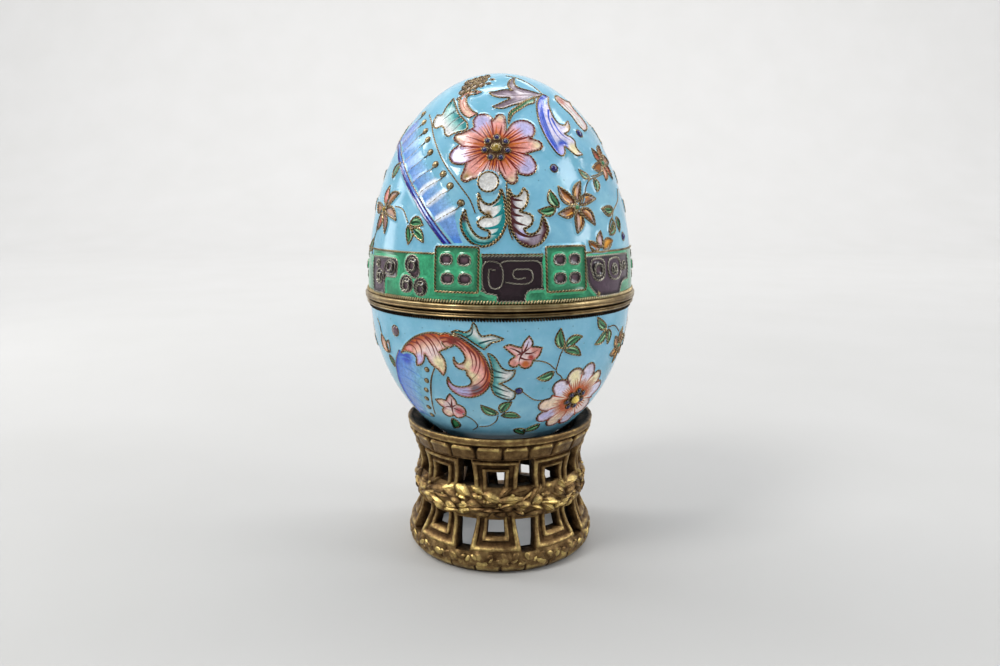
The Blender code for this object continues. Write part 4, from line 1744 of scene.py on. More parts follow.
@dataclass
class BandOrnament(Ornament):
    """The green band of square panels and frets round the lid's foot.

    Attributes:
        middle: the height of the band's middle.
        half_square: half the width of a square panel.
        corner: how much of each end of its sides its rounded corners take.
    """

    middle: float = 64.5
    half_square: float = 4.25
    corner: float = 0.6

    def build(self) -> None:
        """Draws the panels of one side of the band."""
        self.square(-16.3, ((-1.95, 1.85), (1.55, 1.75), (-1.65, -1.75), (1.75, -1.75)))
        self.square(25.75, ((-1.6, 1.75), (1.6, 1.75), (-1.6, -1.75), (1.6, -1.75)))
        self.key_panel()
        self.drop_panel()
        self.scroll_panel()
        self.lozenge()

    def lozenge(self) -> None:
        """Four drops on the plain green between this side's panels and the next side's."""
        pen = self.pen(90.0, self.middle)
        for at in ((0.0, 2.5), (2.0, 0.2), (0.0, -2.1), (-2.0, 0.2)):
            self.drop(pen, at, 0.95, 0.9, 0.0)

    def square(self, azimuth: float, drops: Sequence[Point]) -> None:
        """A raised green square with four dark drops.

        Args:
            azimuth: where its middle is.
            drops: the drops' places.
        """
        pen = self.pen(azimuth, self.middle + 1.35)
        half, side, knee = self.half_square, self.half_square - self.corner, self.half_square * 0.975
        stretches = []
        for turn in range(4):
            angle = math.radians(90 * turn)
            start, end, bend, after = [
                (x * math.cos(angle) - y * math.sin(angle), x * math.sin(angle) + y * math.cos(angle))
                for x, y in ((half, -side), (half, side), (knee, knee), (side, half))]
            stretches += [(start, end), (end, bend, after)]
        marks = outline(*stretches)
        pen.cell(marks, Shade(
            ((0.0, Glaze.GREEN_DEEP), (0.9, Glaze.GREEN_MID), (2.4, Glaze.GREEN)),
            washes=tuple((drop, 1.7, Glaze.GREEN_MID) for drop in drops)), floor=0.36)
        for drop in drops:
            self.drop(pen, drop, 1.2, 1.0, 0.36)

    def drop(self, pen: Pen, at: Point, across: float, tall: float, floor: float = 0.2) -> None:
        """A plum drop with round corners, dished within a ring of silver wire.

        Args:
            pen: the panel's pen.
            at: its middle.
            across: half its width.
            tall: half its height.
            floor: how high the enamel round it stands.
        """
        round_marks, squareness = circle(28), 0.74
        ring = np.sign(round_marks) * np.abs(round_marks) ** squareness * np.array([across, tall])
        marks = np.array(at) + ring
        brim, dish = floor + 0.3, 0.24

        def away(points: Array) -> Array:
            """How far in from the wire each point is, as a share of the drop's half height."""
            return np.minimum(distance_to_line(points, marks, closed=True) / tall, 1)

        def height(points: Array) -> Array:
            """The drop's dished surface."""
            return brim - dish * (1 - (1 - away(points)) ** 2)

        def tint(points: Array) -> Array:
            """Plum along the wire, and paler in the middle."""
            share = smooth_step(away(points), 0.2, 0.9)[:, None]
            return Glaze.PLUM.light + share * (Glaze.MULBERRY.light - Glaze.PLUM.light)

        pen.spread(marks, 0.24, height, tint)
        pen.wire(marks, closed=True, silver=True, thick=0.21, proud=floor + 0.28)
        pen.collar(at, ring, floor, Glaze.PLUM if 0 < floor <= 0.1 else Glaze.GREEN)

    def panel(self, pen: Pen, marks: Array, heart: Glaze = Glaze.PLUM_LIGHT) -> Cell:
        """A field of dark plum enamel, laid over the green.

        Args:
            pen: the panel's pen.
            marks: its outline.
            heart: its colour in the middle.

        Returns:
            The field's cell.
        """
        return pen.cell(marks, Shade(
            ((0.0, Glaze.PLUM), (0.4, Glaze.PLUM), (0.9, heart))), floor=0.06, silver=True, thick=0.2)

    def key_panel(self) -> None:
        """The key fret between the two squares."""
        pen = self.pen(0.0, self.middle)
        marks = outline(
            ((-4.6, -2.5), (-3.2, -2.6)),
            ((-3.2, -2.6), (-2.6, -3.0), (-1.6, -3.15), (-0.6, -3.4), (-0.5, -4.55)),
            ((-0.5, -4.55), (4.7, -4.55)),
            ((4.7, -4.55), (4.8, -3.2), (5.4, -2.5), (6.6, -2.3), (9.1, -2.2)),
            ((9.1, -2.2), (9.15, 3.9)),
            ((9.15, 3.9), (2.0, 3.95), (-4.5, 3.9)),
            ((-4.5, 3.9), (-4.6, -2.5)))
        self.panel(pen, marks)
        walls = (
            ((-0.8, 1.3), (-2.0, 1.55)),
            ((-2.0, 1.55), (-2.15, 0.0), (-1.9, -1.6), (-1.3, -2.1), (-0.2, -2.0), (0.4, -1.2), (0.45, 1.5),
             (-0.2, 2.6), (-1.5, 2.95), (-2.6, 2.8), (-3.2, 2.1), (-3.35, 0.0), (-3.2, -1.9), (-2.6, -2.9)),
            ((0.2, 2.7), (1.0, 3.0), (4.0, 3.05), (7.1, 2.95), (7.75, 2.2), (7.9, 0.5), (7.9, -1.8)),
            ((1.0, -0.9), (3.0, -1.2), (5.0, -1.2), (6.0, -0.6), (6.1, 0.6), (5.6, 1.4), (4.0, 1.5),
             (2.8, 1.4), (2.4, 0.8), (2.6, 0.0), (3.3, -0.3), (4.8, -0.1)))
        for wall in walls:
            pen.wire(smooth_curve(wall), silver=True, thick=0.16, proud=0.14)

    def drop_panel(self) -> None:
        """The curled lumps and the frets to the left of the squares."""
        pen = self.pen(-30.0, self.middle)
        lumps = (
            (((-3.9, 3.5), (-2.6, 3.75), (-1.5, 2.9), (-1.25, 1.4), (-1.0, 0.4), (-1.6, -0.5), (-2.6, -0.6),
              (-3.6, 0.2), (-4.5, 1.0), (-4.75, 2.3)), (-3.0, 2.0), 0.95, 1),
            (((-4.6, -0.2), (-3.4, -0.5), (-2.75, -1.6), (-3.0, -3.0), (-4.2, -3.5), (-5.6, -3.2),
              (-6.1, -1.9), (-5.6, -0.7)), (-4.4, -1.9), 0.95, -1),
            (((-1.2, -0.7), (0.0, -0.7), (0.75, -1.8), (0.6, -3.3), (-0.5, -4.0), (-1.8, -3.6), (-2.4, -2.5),
              (-2.1, -1.2)), (-0.8, -2.4), 0.95, 1))
        for marks, centre, reach, sense in lumps:
            self.panel(pen, outline(marks), Glaze.MULBERRY)
            self.drop(pen, (centre[0], centre[1] - 0.35), 0.78, 0.86, 0.06)
            self.hook(pen, centre, reach, sense)
        pen = self.pen(-48.0, self.middle)
        fret = outline(
            ((-7.5, -4.4), (-2.3, -4.4)), ((-2.3, -4.4), (-2.2, -1.6), (-1.7, -0.9)),
            ((-1.7, -0.9), (1.3, -0.85), (1.9, -0.5), (2.0, 0.4)), ((2.0, 0.4), (2.0, 2.2), (1.5, 2.8)),
            ((1.5, 2.8), (-3.0, 2.9), (-8.0, 2.8)), ((-8.0, 2.8), (-8.2, 0.5), (-7.5, -4.4)))
        self.panel(pen, fret, Glaze.DAMSON)
        self.drop(pen, (-0.4, 1.1), 0.85, 0.85, 0.06)
        pen.wire(smooth_curve(((-2.2, -0.2), (-1.4, -0.4), (0.2, -0.4), (1.1, 0.3), (1.2, 1.7), (0.4, 2.3),
                               (-1.2, 2.3), (-2.2, 1.6), (-2.6, 0.2), (-2.7, -1.8))),
                 silver=True, thick=0.16, proud=0.14)
        self.spiral(pen, (-4.7, -1.2), 1.7, 1)
        self.spiral(pen, (-5.4, 1.6), 0.9, -1)

    def scroll_panel(self) -> None:
        """The rounded cells on purple to the right of the squares."""
        pen = self.pen(48.0, self.middle)
        field_marks = outline(
            ((-6.6, 3.4), (-6.4, 1.0), (-6.2, -1.4), (-5.4, -2.7), (-4.4, -3.6), (-3.6, -4.5)),
            ((-3.6, -4.5), (1.0, -4.6), (4.0, -4.5)),
            ((4.0, -4.5), (4.6, -3.4), (5.2, -2.4), (6.8, -1.9), (8.6, -1.8)),
            ((8.6, -1.8), (9.1, 0.6), (8.6, 3.4)),
            ((8.6, 3.4), (1.0, 3.45), (-6.6, 3.4)))
        self.panel(pen, field_marks, Glaze.DAMSON)
        for loop in (
                ((-5.4, 1.4), (-5.1, 2.5), (-4.1, 2.9), (-2.4, 2.8), (-1.5, 2.2), (-1.4, 0.8), (-1.6, -0.7),
                 (-2.5, -1.3), (-3.7, -1.3), (-4.6, -0.7), (-5.0, 0.4)),
                ((-0.2, 1.4), (0.4, 2.4), (2.0, 2.8), (3.8, 2.6), (4.7, 1.6), (4.6, -0.4), (3.6, -1.4),
                 (1.8, -1.5), (0.4, -0.9))):
            pen.wire(smooth_curve(loop, closed=True), closed=True, silver=True, thick=0.23, proud=0.14)
        self.drop(pen, (-3.3, 0.7), 1.1, 1.2, 0.06)
        self.spiral(pen, (2.3, 0.6), 1.3, -1)
        self.spiral(pen, (6.6, 0.9), 1.1, 1)
        pen.grain((-3.3, -4.1), 0.45)

    def spiral(self, pen: Pen, centre: Point, reach: float, sense: int) -> None:
        """A turn of silver wire with a dished drop in its eye.

        Args:
            pen: the panel's pen.
            centre: the spiral's middle.
            reach: its outer radius.
            sense: 1 if it winds inwards anticlockwise, or -1.
        """
        turn = np.linspace(0.3, 1.05 * math.tau, 26)
        radius = reach * (1 - 0.3 * np.linspace(0, 1, 26))
        path = np.array(centre) + radius[:, None] * np.stack([np.cos(sense * turn), np.sin(sense * turn)], 1)
        pen.wire(even_marks(path, 0.2), silver=True, thick=0.17, proud=0.14)
        self.drop(pen, centre, reach * 0.4, reach * 0.42, 0.03)

    def hook(self, pen: Pen, centre: Point, reach: float, sense: int) -> None:
        """A hook of silver wire that curls over a drop.

        Args:
            pen: the panel's pen.
            centre: the hook's middle.
            reach: its radius.
            sense: 1 if it winds anticlockwise, or -1.
        """
        turn = np.linspace(0.1, 0.62, 14) * math.tau
        radius = reach * np.linspace(1.3, 1.05, 14)
        path = np.array(centre) + radius[:, None] * np.stack([np.cos(sense * turn), np.sin(turn)], 1)
        pen.wire(even_marks(path, 0.2), silver=True, thick=0.17, proud=0.14)


@dataclass
class BowlOrnament(Ornament):
    """The bowl's plumes, flower and sprigs."""

    def build(self) -> None:
        """Draws everything on the bowl."""
        self.long_plume()
        self.round_plume()
        self.teal_leaves()
        self.bud()
        self.low_bud()
        self.sprigs()
        self.flower()
        self.right_sprig()
        self.wing()
        if not self.mirrored:
            self.side_sprig(90.0)
            self.side_sprig(-90.0)

    def side_sprig(self, azimuth: float) -> None:
        """The plain hanging sprig between the two designs, on one side of the bowl.

        Args:
            azimuth: the side.
        """
        pen = self.pen(azimuth * 1.03, 44.5)
        lean = math.copysign(1.0, azimuth)
        for base, tip in (((-3.4, 6.6), (-0.4, 8.4)), ((-4.2, 4.4), (-6.8, 2.4)), ((-3.6, 2.4), (-0.2, 4.2)),
                          ((2.6, -4.8), (5.6, -3.4)), ((1.6, -5.2), (-1.4, -7.2))):
            pen.green_leaves(((lean * base[0], base[1]), (lean * tip[0], tip[1]), 0.85))
        pen.stem([(lean * x, y) for x, y in (
            (-3.0, 8.4), (-4.0, 5.6), (-3.9, 3.0), (-2.6, 0.8), (-0.8, -0.4), (1.0, -2.2), (2.0, -5.0),
            (3.6, -7.4))])
        pen.rosette((lean * 3.2, 2.2), 20.0, 3.1, 0.9, Glaze.AMBER_DEEP, Glaze.AMBER, Glaze.AMBER_PALE)
        pen.jewel((lean * 3.2, 2.2), 0.55, Glaze.LEAF)
        pen.jewel((lean * 2.8, 7.4), 0.75, Glaze.COBALT)

    def long_plume(self) -> None:
        """The orange and lilac plume at the left."""
        pen = self.pen(-33.0, 47.0)
        outer = ((6.4, 5.3), (5.4, 6.1), (4.0, 6.4), (2.2, 6.4), (0.5, 6.0), (-1.5, 5.2), (-3.3, 4.0),
                 (-4.8, 2.8), (-5.8, 1.6), (-6.3, 1.0))
        marks = outline(
            outer,
            ((-6.3, 1.0), (-5.0, 1.6), (-3.6, 1.7), (-2.4, 1.4), (-1.9, 0.6), (-2.2, -0.4), (-2.2, -1.1)),
            ((-2.2, -1.1), (-1.2, -0.8), (-0.3, -0.1), (0.2, 0.8), (0.4, 1.9)),
            ((0.4, 1.9), (0.9, 1.2), (1.3, 0.2), (2.0, -0.6), (2.9, -1.2), (3.9, -2.6)),
            ((3.9, -2.6), (4.5, -1.8), (4.9, -0.6), (4.9, 0.8), (4.4, 1.9), (3.9, 2.5)),
            ((3.9, 2.5), (4.8, 3.0), (5.7, 3.3), (6.3, 3.9), (6.5, 4.7), (6.4, 5.3)))
        cell = pen.cell(marks, Shade(
            ((0.0, Glaze.CARNELIAN), (0.8, Glaze.ORANGE), (1.5, Glaze.SALMON), (2.3, Glaze.PEACH),
             (3.1, Glaze.PINK_PALE)), outer,
            washes=(((-1.0, 0.4), 1.4, Glaze.LILAC), ((-3.6, 2.2), 1.1, Glaze.PINK),
                    ((3.6, 0.2), 1.7, Glaze.CREAM), ((4.2, -1.0), 1.0, Glaze.CREAM),
                    ((5.3, 4.2), 1.0, Glaze.PINK_PALE)),
            rim=Glaze.RED))
        pen.strokes(Glaze.OXBLOOD, 0.42, cell,
                    ((-4.6, 2.9), (-3.0, 3.3), (-1.9, 2.6), (-1.6, 1.0)),
                    ((-3.3, 4.0), (-1.5, 3.9), (-0.2, 3.3)),
                    ((-2.0, 4.8), (0.0, 4.7), (1.4, 3.4), (2.1, 1.5)),
                    ((0.0, 5.8), (2.0, 5.1), (3.2, 3.5), (4.0, 1.0)),
                    ((2.0, 6.3), (3.6, 5.4), (4.5, 4.0), (4.8, 3.2)), ((4.0, 6.3), (5.0, 5.8), (5.8, 4.6)),
                    ((-1.4, 4.4), (-0.4, 3.0), (-0.6, 0.8)), ((1.0, 5.4), (2.4, 3.8), (3.0, 1.2)))
        pen.stem(((2.3, -1.1), (1.2, -2.8), (0.2, -5.0), (-0.6, -7.5), (-1.3, -10.5)))
        pen.jewel((-7.2, 5.5), 1.05, Glaze.MULBERRY)

    def round_plume(self) -> None:
        """The great orange plume that curls round to lilac."""
        pen = self.pen(-5.0, 46.0)
        top = ((-9.6, 6.7), (-8.6, 7.2), (-7.4, 7.3), (-6.2, 6.9))
        foot = ((-6.5, 5.0), (-7.1, 4.6), (-7.9, 4.5), (-8.6, 4.8), (-9.0, 5.4))
        joint = Cell(outline(top, ((-6.2, 6.9), (-6.1, 5.9), (-6.5, 5.0)), foot,
                             ((-9.0, 5.4), (-9.5, 6.0), (-9.6, 6.7))), floor=0.34, rise=-0.34, reach=0.15)
        pen.fill(joint, Shade(((0.0, Glaze.RED), (0.4, Glaze.CARNELIAN), (0.9, Glaze.ORANGE),
                               (1.7, Glaze.SALMON), (2.6, Glaze.PEACH)), top,
                              washes=(((-6.9, 6.0), 1.1, Glaze.OXBLOOD),)), spacing=0.32)
        pen.strokes(Glaze.OXBLOOD, 0.42, joint,
                    ((-9.2, 6.2), (-7.8, 6.5), (-6.5, 6.0)), ((-8.9, 5.4), (-7.7, 5.7), (-6.7, 5.3)))
        pen.wire(smooth_curve(top), proud=0.16)
        pen.wire(smooth_curve(foot), proud=0.12)
        outer = ((-7.9, 6.7), (-6.6, 7.1), (-5.0, 6.7), (-3.2, 5.6), (-1.6, 4.4), (-0.4, 2.8), (0.3, 1.0),
                 (0.7, -1.0), (0.4, -2.8), (-0.5, -4.4), (-1.9, -5.7), (-3.8, -6.4), (-5.6, -6.3),
                 (-7.2, -5.5), (-8.1, -4.3), (-8.3, -3.0), (-8.0, -2.0))
        marks = outline(
            outer,
            ((-8.0, -2.0), (-7.7, -3.0), (-7.0, -3.8), (-5.8, -4.0), (-4.4, -3.7), (-3.6, -3.2), (-3.3, -2.4),
             (-3.7, -1.5), (-4.2, -0.9), (-4.0, -0.2)),
            ((-4.0, -0.2), (-4.6, 0.1), (-5.6, 0.2), (-6.4, 0.8), (-6.7, 1.8), (-6.6, 2.7)),
            ((-6.6, 2.7), (-6.3, 1.7), (-5.6, 1.3), (-4.8, 1.6), (-4.3, 2.4), (-4.5, 3.4), (-5.2, 4.4),
             (-6.2, 5.1), (-7.3, 5.3), (-7.9, 6.0), (-7.9, 6.7)))
        cell = pen.cell(marks, Shade(
            ((0.0, Glaze.CARNELIAN), (0.8, Glaze.ORANGE), (1.5, Glaze.PINK), (2.4, Glaze.PEACH),
             (3.3, Glaze.CREAM)), outer,
            washes=(((-6.6, 6.3), 1.1, Glaze.MAROON), ((-5.2, -5.2), 2.0, Glaze.LILAC),
                    ((-7.5, -4.2), 1.1, Glaze.LILAC), ((-2.4, -4.3), 1.4, Glaze.MAUVE),
                    ((-2.4, 0.4), 1.3, Glaze.PINK), ((-5.4, 0.8), 1.0, Glaze.PINK_PALE)),
            rim=Glaze.RED))
        pen.strokes(Glaze.OXBLOOD, 0.46, cell,
                    ((-7.0, 6.6), (-5.4, 6.0), (-3.8, 4.6), (-3.0, 2.6), (-3.0, 0.8)),
                    ((-6.0, 6.9), (-3.6, 5.6), (-1.8, 3.6), (-1.5, 1.5), (-2.2, -0.8), (-3.3, -2.0)),
                    ((-2.5, 5.0), (-0.9, 3.0), (-0.4, 0.8), (-0.8, -1.5), (-2.4, -3.2), (-4.0, -3.9)),
                    ((-0.2, 1.5), (0.0, -1.0), (-0.9, -3.2), (-2.8, -4.6), (-5.2, -5.0)),
                    ((-4.0, 5.0), (-2.5, 3.4), (-2.2, 1.4), (-2.8, -0.4)),
                    ((0.2, -2.4), (-1.4, -4.6), (-3.6, -5.6), (-6.0, -5.6)),
                    ((-6.8, 6.0), (-5.2, 5.2), (-4.0, 3.8)))

    def teal_leaves(self) -> None:
        """The two teal leaves beside the great plume."""
        pen = self.pen(-5.0, 46.0)
        spine = ((-7.0, 7.6), (-4.8, 7.2), (-3.2, 6.3), (-1.6, 5.3), (-0.6, 4.7))
        leaf = outline(
            ((-7.0, 7.6), (-5.8, 8.1), (-4.2, 7.9), (-3.2, 8.4), (-2.6, 9.9)),
            ((-2.6, 9.9), (-2.0, 9.2), (-1.6, 8.0), (-1.0, 7.3)),
            ((-1.0, 7.3), (-0.2, 7.4), (0.8, 7.6), (2.0, 7.3), (3.2, 6.8)),
            ((3.2, 6.8), (2.1, 6.3), (1.0, 6.1), (0.2, 5.4), (-0.6, 4.7)),
            spine[::-1])
        cell = pen.cell(leaf, Shade(
            ((0.0, Glaze.TEAL), (0.3, Glaze.TEAL), (0.9, Glaze.TEAL_PALE), (1.6, Glaze.PEARL)), spine,
            rim=Glaze.TEAL))
        pen.strokes(Glaze.TEAL_DEEP, 0.44, cell,
                    ((-4.0, 7.0), (-3.0, 7.6), (-2.6, 9.0)), ((-1.6, 5.8), (0.2, 6.4), (2.0, 6.8)))
        spine = ((1.0, -5.2), (0.6, -3.6), (0.9, -1.8), (0.9, 0.2), (0.6, 2.0), (0.1, 3.9))
        leaf = outline(
            spine,
            ((0.1, 3.9), (0.9, 3.6), (1.6, 2.9), (2.2, 1.8), (2.8, 0.8), (3.8, 0.2), (5.3, 0.2)),
            ((5.3, 0.2), (5.0, -1.0), (4.2, -1.9), (3.2, -2.4), (2.0, -2.75)),
            ((2.0, -2.75), (2.9, -3.1), (3.8, -3.8), (5.2, -5.0)),
            ((5.2, -5.0), (5.0, -6.4), (4.2, -6.9), (3.2, -6.6), (2.0, -6.0), (1.0, -5.2)))
        cell = pen.cell(leaf, Shade(
            ((0.0, Glaze.TEAL), (0.4, Glaze.TEAL), (1.2, Glaze.TEAL_PALE), (2.2, Glaze.PEARL)), spine,
            rim=Glaze.TEAL))
        pen.strokes(Glaze.TEAL_DEEP, 0.5, cell,
                    ((0.8, 0.6), (1.8, 0.0), (3.8, -0.6)), ((0.9, -1.2), (2.2, -1.4), (3.4, -1.6)),
                    ((0.8, -3.2), (2.4, -4.2), (4.2, -5.0)), ((1.2, -4.8), (2.6, -5.6), (4.2, -6.2)))

    def bud(self) -> None:
        """The salmon bud on its stem."""
        pen = self.pen(-5.0, 46.0)
        marks = outline(
            ((3.2, 5.2), (4.6, 3.8), (5.4, 3.1)),
            ((5.4, 3.1), (4.4, 2.5), (4.1, 1.7), (4.6, 1.0), (5.4, 0.9), (6.0, 1.4)),
            ((6.0, 1.4), (6.5, 0.7), (7.4, 0.35), (8.3, 0.8), (8.7, 1.9)),
            ((8.7, 1.9), (9.4, 2.3), (10.0, 3.0), (10.4, 4.3)),
            ((10.4, 4.3), (9.2, 4.7), (8.4, 4.8)),
            ((8.4, 4.8), (8.7, 5.5), (8.0, 7.0)),
            ((8.0, 7.0), (7.0, 5.8), (6.6, 4.8)),
            ((6.6, 4.8), (5.4, 5.2), (4.3, 5.6), (3.2, 5.2)))
        cell = pen.cell(marks, Shade(
            ((0.0, Glaze.ROSE), (0.3, Glaze.PINK), (0.8, Glaze.PINK_PALE)),
            washes=(((7.8, 5.6), 1.0, Glaze.LILAC_PALE), ((9.2, 3.8), 0.9, Glaze.SALMON),
                    ((8.3, 2.6), 0.7, Glaze.RED), ((7.3, 1.3), 1.0, Glaze.ORANGE),
                    ((5.0, 1.7), 0.8, Glaze.SALMON))), spacing=0.34)
        pen.strokes(Glaze.MAROON, 0.4, cell,
                    ((6.7, 3.6), (6.6, 4.8)), ((6.7, 3.6), (7.6, 4.2), (8.4, 4.8)),
                    ((6.7, 3.6), (6.2, 2.6), (6.0, 1.5)), ((6.7, 3.6), (5.9, 3.4), (5.4, 3.1)),
                    ((6.3, 2.7), (7.4, 2.2), (8.7, 2.0)), ((7.0, 3.8), (7.6, 5.0), (7.9, 6.0)),
                    ((6.4, 3.7), (5.2, 4.5), (4.2, 4.9)), ((7.2, 3.5), (8.4, 3.4), (9.6, 3.9)))
        self.pen(25.0, 47.0).stem(((-5.5, 1.0), (-4.0, 0.9), (-2.4, 0.3), (-1.2, -0.7), (-0.5, -1.2)))

    def low_bud(self) -> None:
        """The small bud low down, with its stems."""
        pen = self.pen(0.0, 37.0)
        marks = outline(
            ((-13.1, -0.1), (-12.2, -1.3), (-11.4, -1.7)),
            ((-11.4, -1.7), (-11.8, -2.6), (-11.5, -3.7), (-10.6, -4.2), (-9.8, -3.7), (-9.5, -3.1)),
            ((-9.5, -3.1), (-8.8, -3.8), (-8.0, -3.5), (-7.2, -2.6), (-6.9, -1.4), (-7.2, -0.2), (-8.0, 0.4),
             (-8.7, 0.4)),
            ((-8.7, 0.4), (-8.9, 1.4), (-10.0, 2.9)),
            ((-10.0, 2.9), (-10.6, 1.8), (-10.9, 0.7)),
            ((-10.9, 0.7), (-12.0, 0.6), (-13.1, -0.1)))
        cell = pen.cell(marks, Shade(
            ((0.0, Glaze.ROSE), (0.25, Glaze.PINK), (0.7, Glaze.PINK_PALE)),
            washes=(((-8.2, -1.6), 1.3, Glaze.ROSE), ((-10.6, -3.0), 0.9, Glaze.SAND),
                    ((-12.0, -0.3), 0.8, Glaze.SAND))), spacing=0.34)
        pen.strokes(Glaze.MAROON, 0.4, cell,
                    ((-9.8, -1.0), (-10.4, 0.0), (-10.9, 0.7)), ((-9.8, -1.0), (-9.2, -0.2), (-8.7, 0.4)),
                    ((-9.8, -1.0), (-9.7, -2.2), (-9.5, -3.1)),
                    ((-9.8, -1.0), (-10.7, -1.2), (-11.4, -1.7)), ((-9.8, -0.7), (-9.8, 0.6), (-9.9, 1.9)),
                    ((-9.4, -1.1), (-8.4, -1.4), (-7.6, -1.8)))
        pen.leaf((-9.6, -4.5), (-9.6, -8.5), 0.9, Glaze.LEAF_DEEP, Glaze.LEAF)
        pen.stem(((-7.6, -2.1), (-5.4, -3.6), (-4.6, -5.6), (-5.6, -7.3)))

    def sprigs(self) -> None:
        """The green sprigs with their stems and the blue drop."""
        pen = self.pen(25.0, 47.0)
        pen.stem(((0.4, 3.1), (-0.1, 1.8), (-0.3, 0.4), (-0.5, -1.2), (-0.2, -2.0), (0.8, -2.8), (1.4, -3.7)))
        pen.green_leaves(((0.3, 3.3), (-0.5, 7.4), 0.95), ((0.8, 3.4), (4.7, 5.3), 0.9),
                         ((0.7, 3.0), (4.9, 1.2), 0.85), ((-0.9, -1.7), (-4.3, -2.9), 0.9))
        pen.jewel((-7.4, -5.9), 0.68, Glaze.COBALT)
        pen.stem(((-6.6, -6.1), (-5.2, -7.2), (-3.9, -8.1), (-2.2, -8.4), (-0.8, -8.2)))
        pen = self.pen(-57.5, 48.0)
        pen.leaf((0.0, -0.7), (-1.6, 3.2), 1.3, Glaze.SALMON, Glaze.SAND, vein=Glaze.CARNELIAN)
        pen.leaf((0.5, -0.6), (1.6, 2.2), 0.8, Glaze.SALMON, Glaze.PINK_PALE)
        pen.leaf((0.2, -1.3), (1.0, -3.9), 0.75, Glaze.LEAF, Glaze.LEAF, vein=Glaze.LEAF_DEEP)
        pen.stem(((-1.6, 3.4), (-1.9, 5.0), (-2.8, 6.2)))
        pen = self.pen(0.0, 37.0)
        pen.stem(((-0.4, -1.6), (-0.8, -3.2), (-2.2, -4.9), (-4.2, -5.6)))
        pen.green_leaves(
            ((-0.4, -0.9), (-3.8, 1.4), 0.95), ((0.2, -0.4), (2.3, 2.5), 0.95),
            ((0.3, -1.3), (4.1, -2.3), 0.85), ((3.0, -6.3), (4.9, -8.9), 0.95),
            ((8.2, -5.9), (4.6, -7.4), 0.9))

    def flower(self) -> None:
        """The pink and lilac flower low at the right."""
        lobes = (
            Lobe(10.0, 8.2, 2.0, Glaze.LILAC_PALE, 7.0, 5.4), Lobe(45.0, 7.9, 1.8, Glaze.CREAM, 6.2, 5.8),
            Lobe(80.7, 8.7, 2.0, Glaze.LILAC_PALE, 7.0, 5.2), Lobe(111.7, 8.4, 2.2, Glaze.CREAM, 5.8, 5.4),
            Lobe(144.8, 8.3, 2.0, Glaze.LILAC_PALE, 6.8, 5.0), Lobe(187.0, 8.6, 1.9, Glaze.SAND, 6.4, 5.4),
            Lobe(216.0, 8.9, 1.9, Glaze.LILAC, 7.2, 5.6), Lobe(247.0, 8.3, 2.1, Glaze.SAND, 7.1, 5.6),
            Lobe(280.0, 8.0, 2.1, Glaze.LILAC_PALE, 7.0, 5.4),
            Lobe(322.0, 8.1, 2.4, Glaze.PINK_PALE, 6.8, 5.6))
        made = GreatFlower(lobes, heart=2.5, dot_ring=2.15, flush=Glaze.SAND, dome=1.0,
                           dome_glaze=Glaze.YELLOW, vein=Glaze.CARNELIAN)
        made.draw(self.pen(37.8, 38.7, (0.9, -0.6)))

    def right_sprig(self) -> None:
        """The sprig and amber flower towards the right edge."""
        pen = self.pen(55.0, 48.0)
        pen.green_leaves(((-3.2, 5.2), (-6.4, 7.6), 0.85), ((-3.0, 4.8), (-6.2, 2.0), 0.85),
                         ((-2.4, 4.8), (-1.8, 1.6), 0.8))
        pen.stem(((-2.4, 5.3), (0.0, 5.3), (3.0, 3.6)))
        pen.rosette((4.4, 0.2), 20.0, 4.0, 0.95, Glaze.AMBER_DEEP, Glaze.AMBER, Glaze.AMBER_PALE)
        pen.jewel((4.4, 0.2), 0.55, Glaze.LEAF)

    def wing(self) -> None:
        """The ribbed blue wing at the left, which runs down behind the stand's rim."""
        pen = self.pen(-48.0, 40.0)
        edge = ((0.2, 8.9), (-1.7, 6.7), (-3.0, 4.0), (-4.0, 1.0), (-4.2, -2.0), (-4.0, -5.0), (-3.4, -8.0))
        ribs = (
            ((6.9, 8.2), (4.6, 9.0), (2.4, 9.4), (0.2, 8.9)),
            ((6.4, 5.6), (4.0, 6.9), (1.4, 7.6), (-1.0, 7.2)),
            ((5.4, 3.0), (3.2, 4.4), (0.6, 5.2), (-2.2, 5.2)),
            ((4.2, 0.6), (2.0, 2.0), (-0.6, 2.8), (-3.4, 2.8)),
            ((3.0, -1.8), (1.0, -0.4), (-1.4, 0.4), (-4.0, 0.2)),
            ((2.0, -4.4), (0.2, -3.0), (-1.8, -2.4), (-4.1, -2.6)),
            ((1.2, -7.0), (-0.4, -5.8), (-2.0, -5.2), (-3.9, -5.4)))
        shore = [rib[0] for rib in ribs]
        foot = (ribs[-1][-1], (-3.6, -7.6), (-1.0, -8.2), (1.0, -8.4), ribs[-1][0])
        marks = outline(ribs[0], (ribs[0][-1], *edge[1:-1], ribs[-1][-1]), foot, shore[::-1])
        cell = pen.fill(Cell(marks, walls=[smooth_curve(edge)], shore=smooth_curve(shore)), Shade(
            ((0.0, Glaze.BLUE_DEEP), (0.14, Glaze.BLUE), (0.5, Glaze.BLUE_SOFT), (0.95, Glaze.TURQUOISE)),
            edge, shore, washes=(((2.0, 7.8), 1.9, Glaze.BLUE_DEEP),)))
        for rib in ribs[1:]:
            pen.stroke(rib[::-1], Glaze.BLUE, 0.4, cell)
            pen.grain((rib[0][0] + 0.7, rib[0][1] - 0.3), 0.42)
        pen.wire(smooth_curve(edge))
        pen.stem(((9.0, 5.5), (7.5, 3.0), (6.2, 0.0), (5.0, -2.5), (3.5, -6.5)))


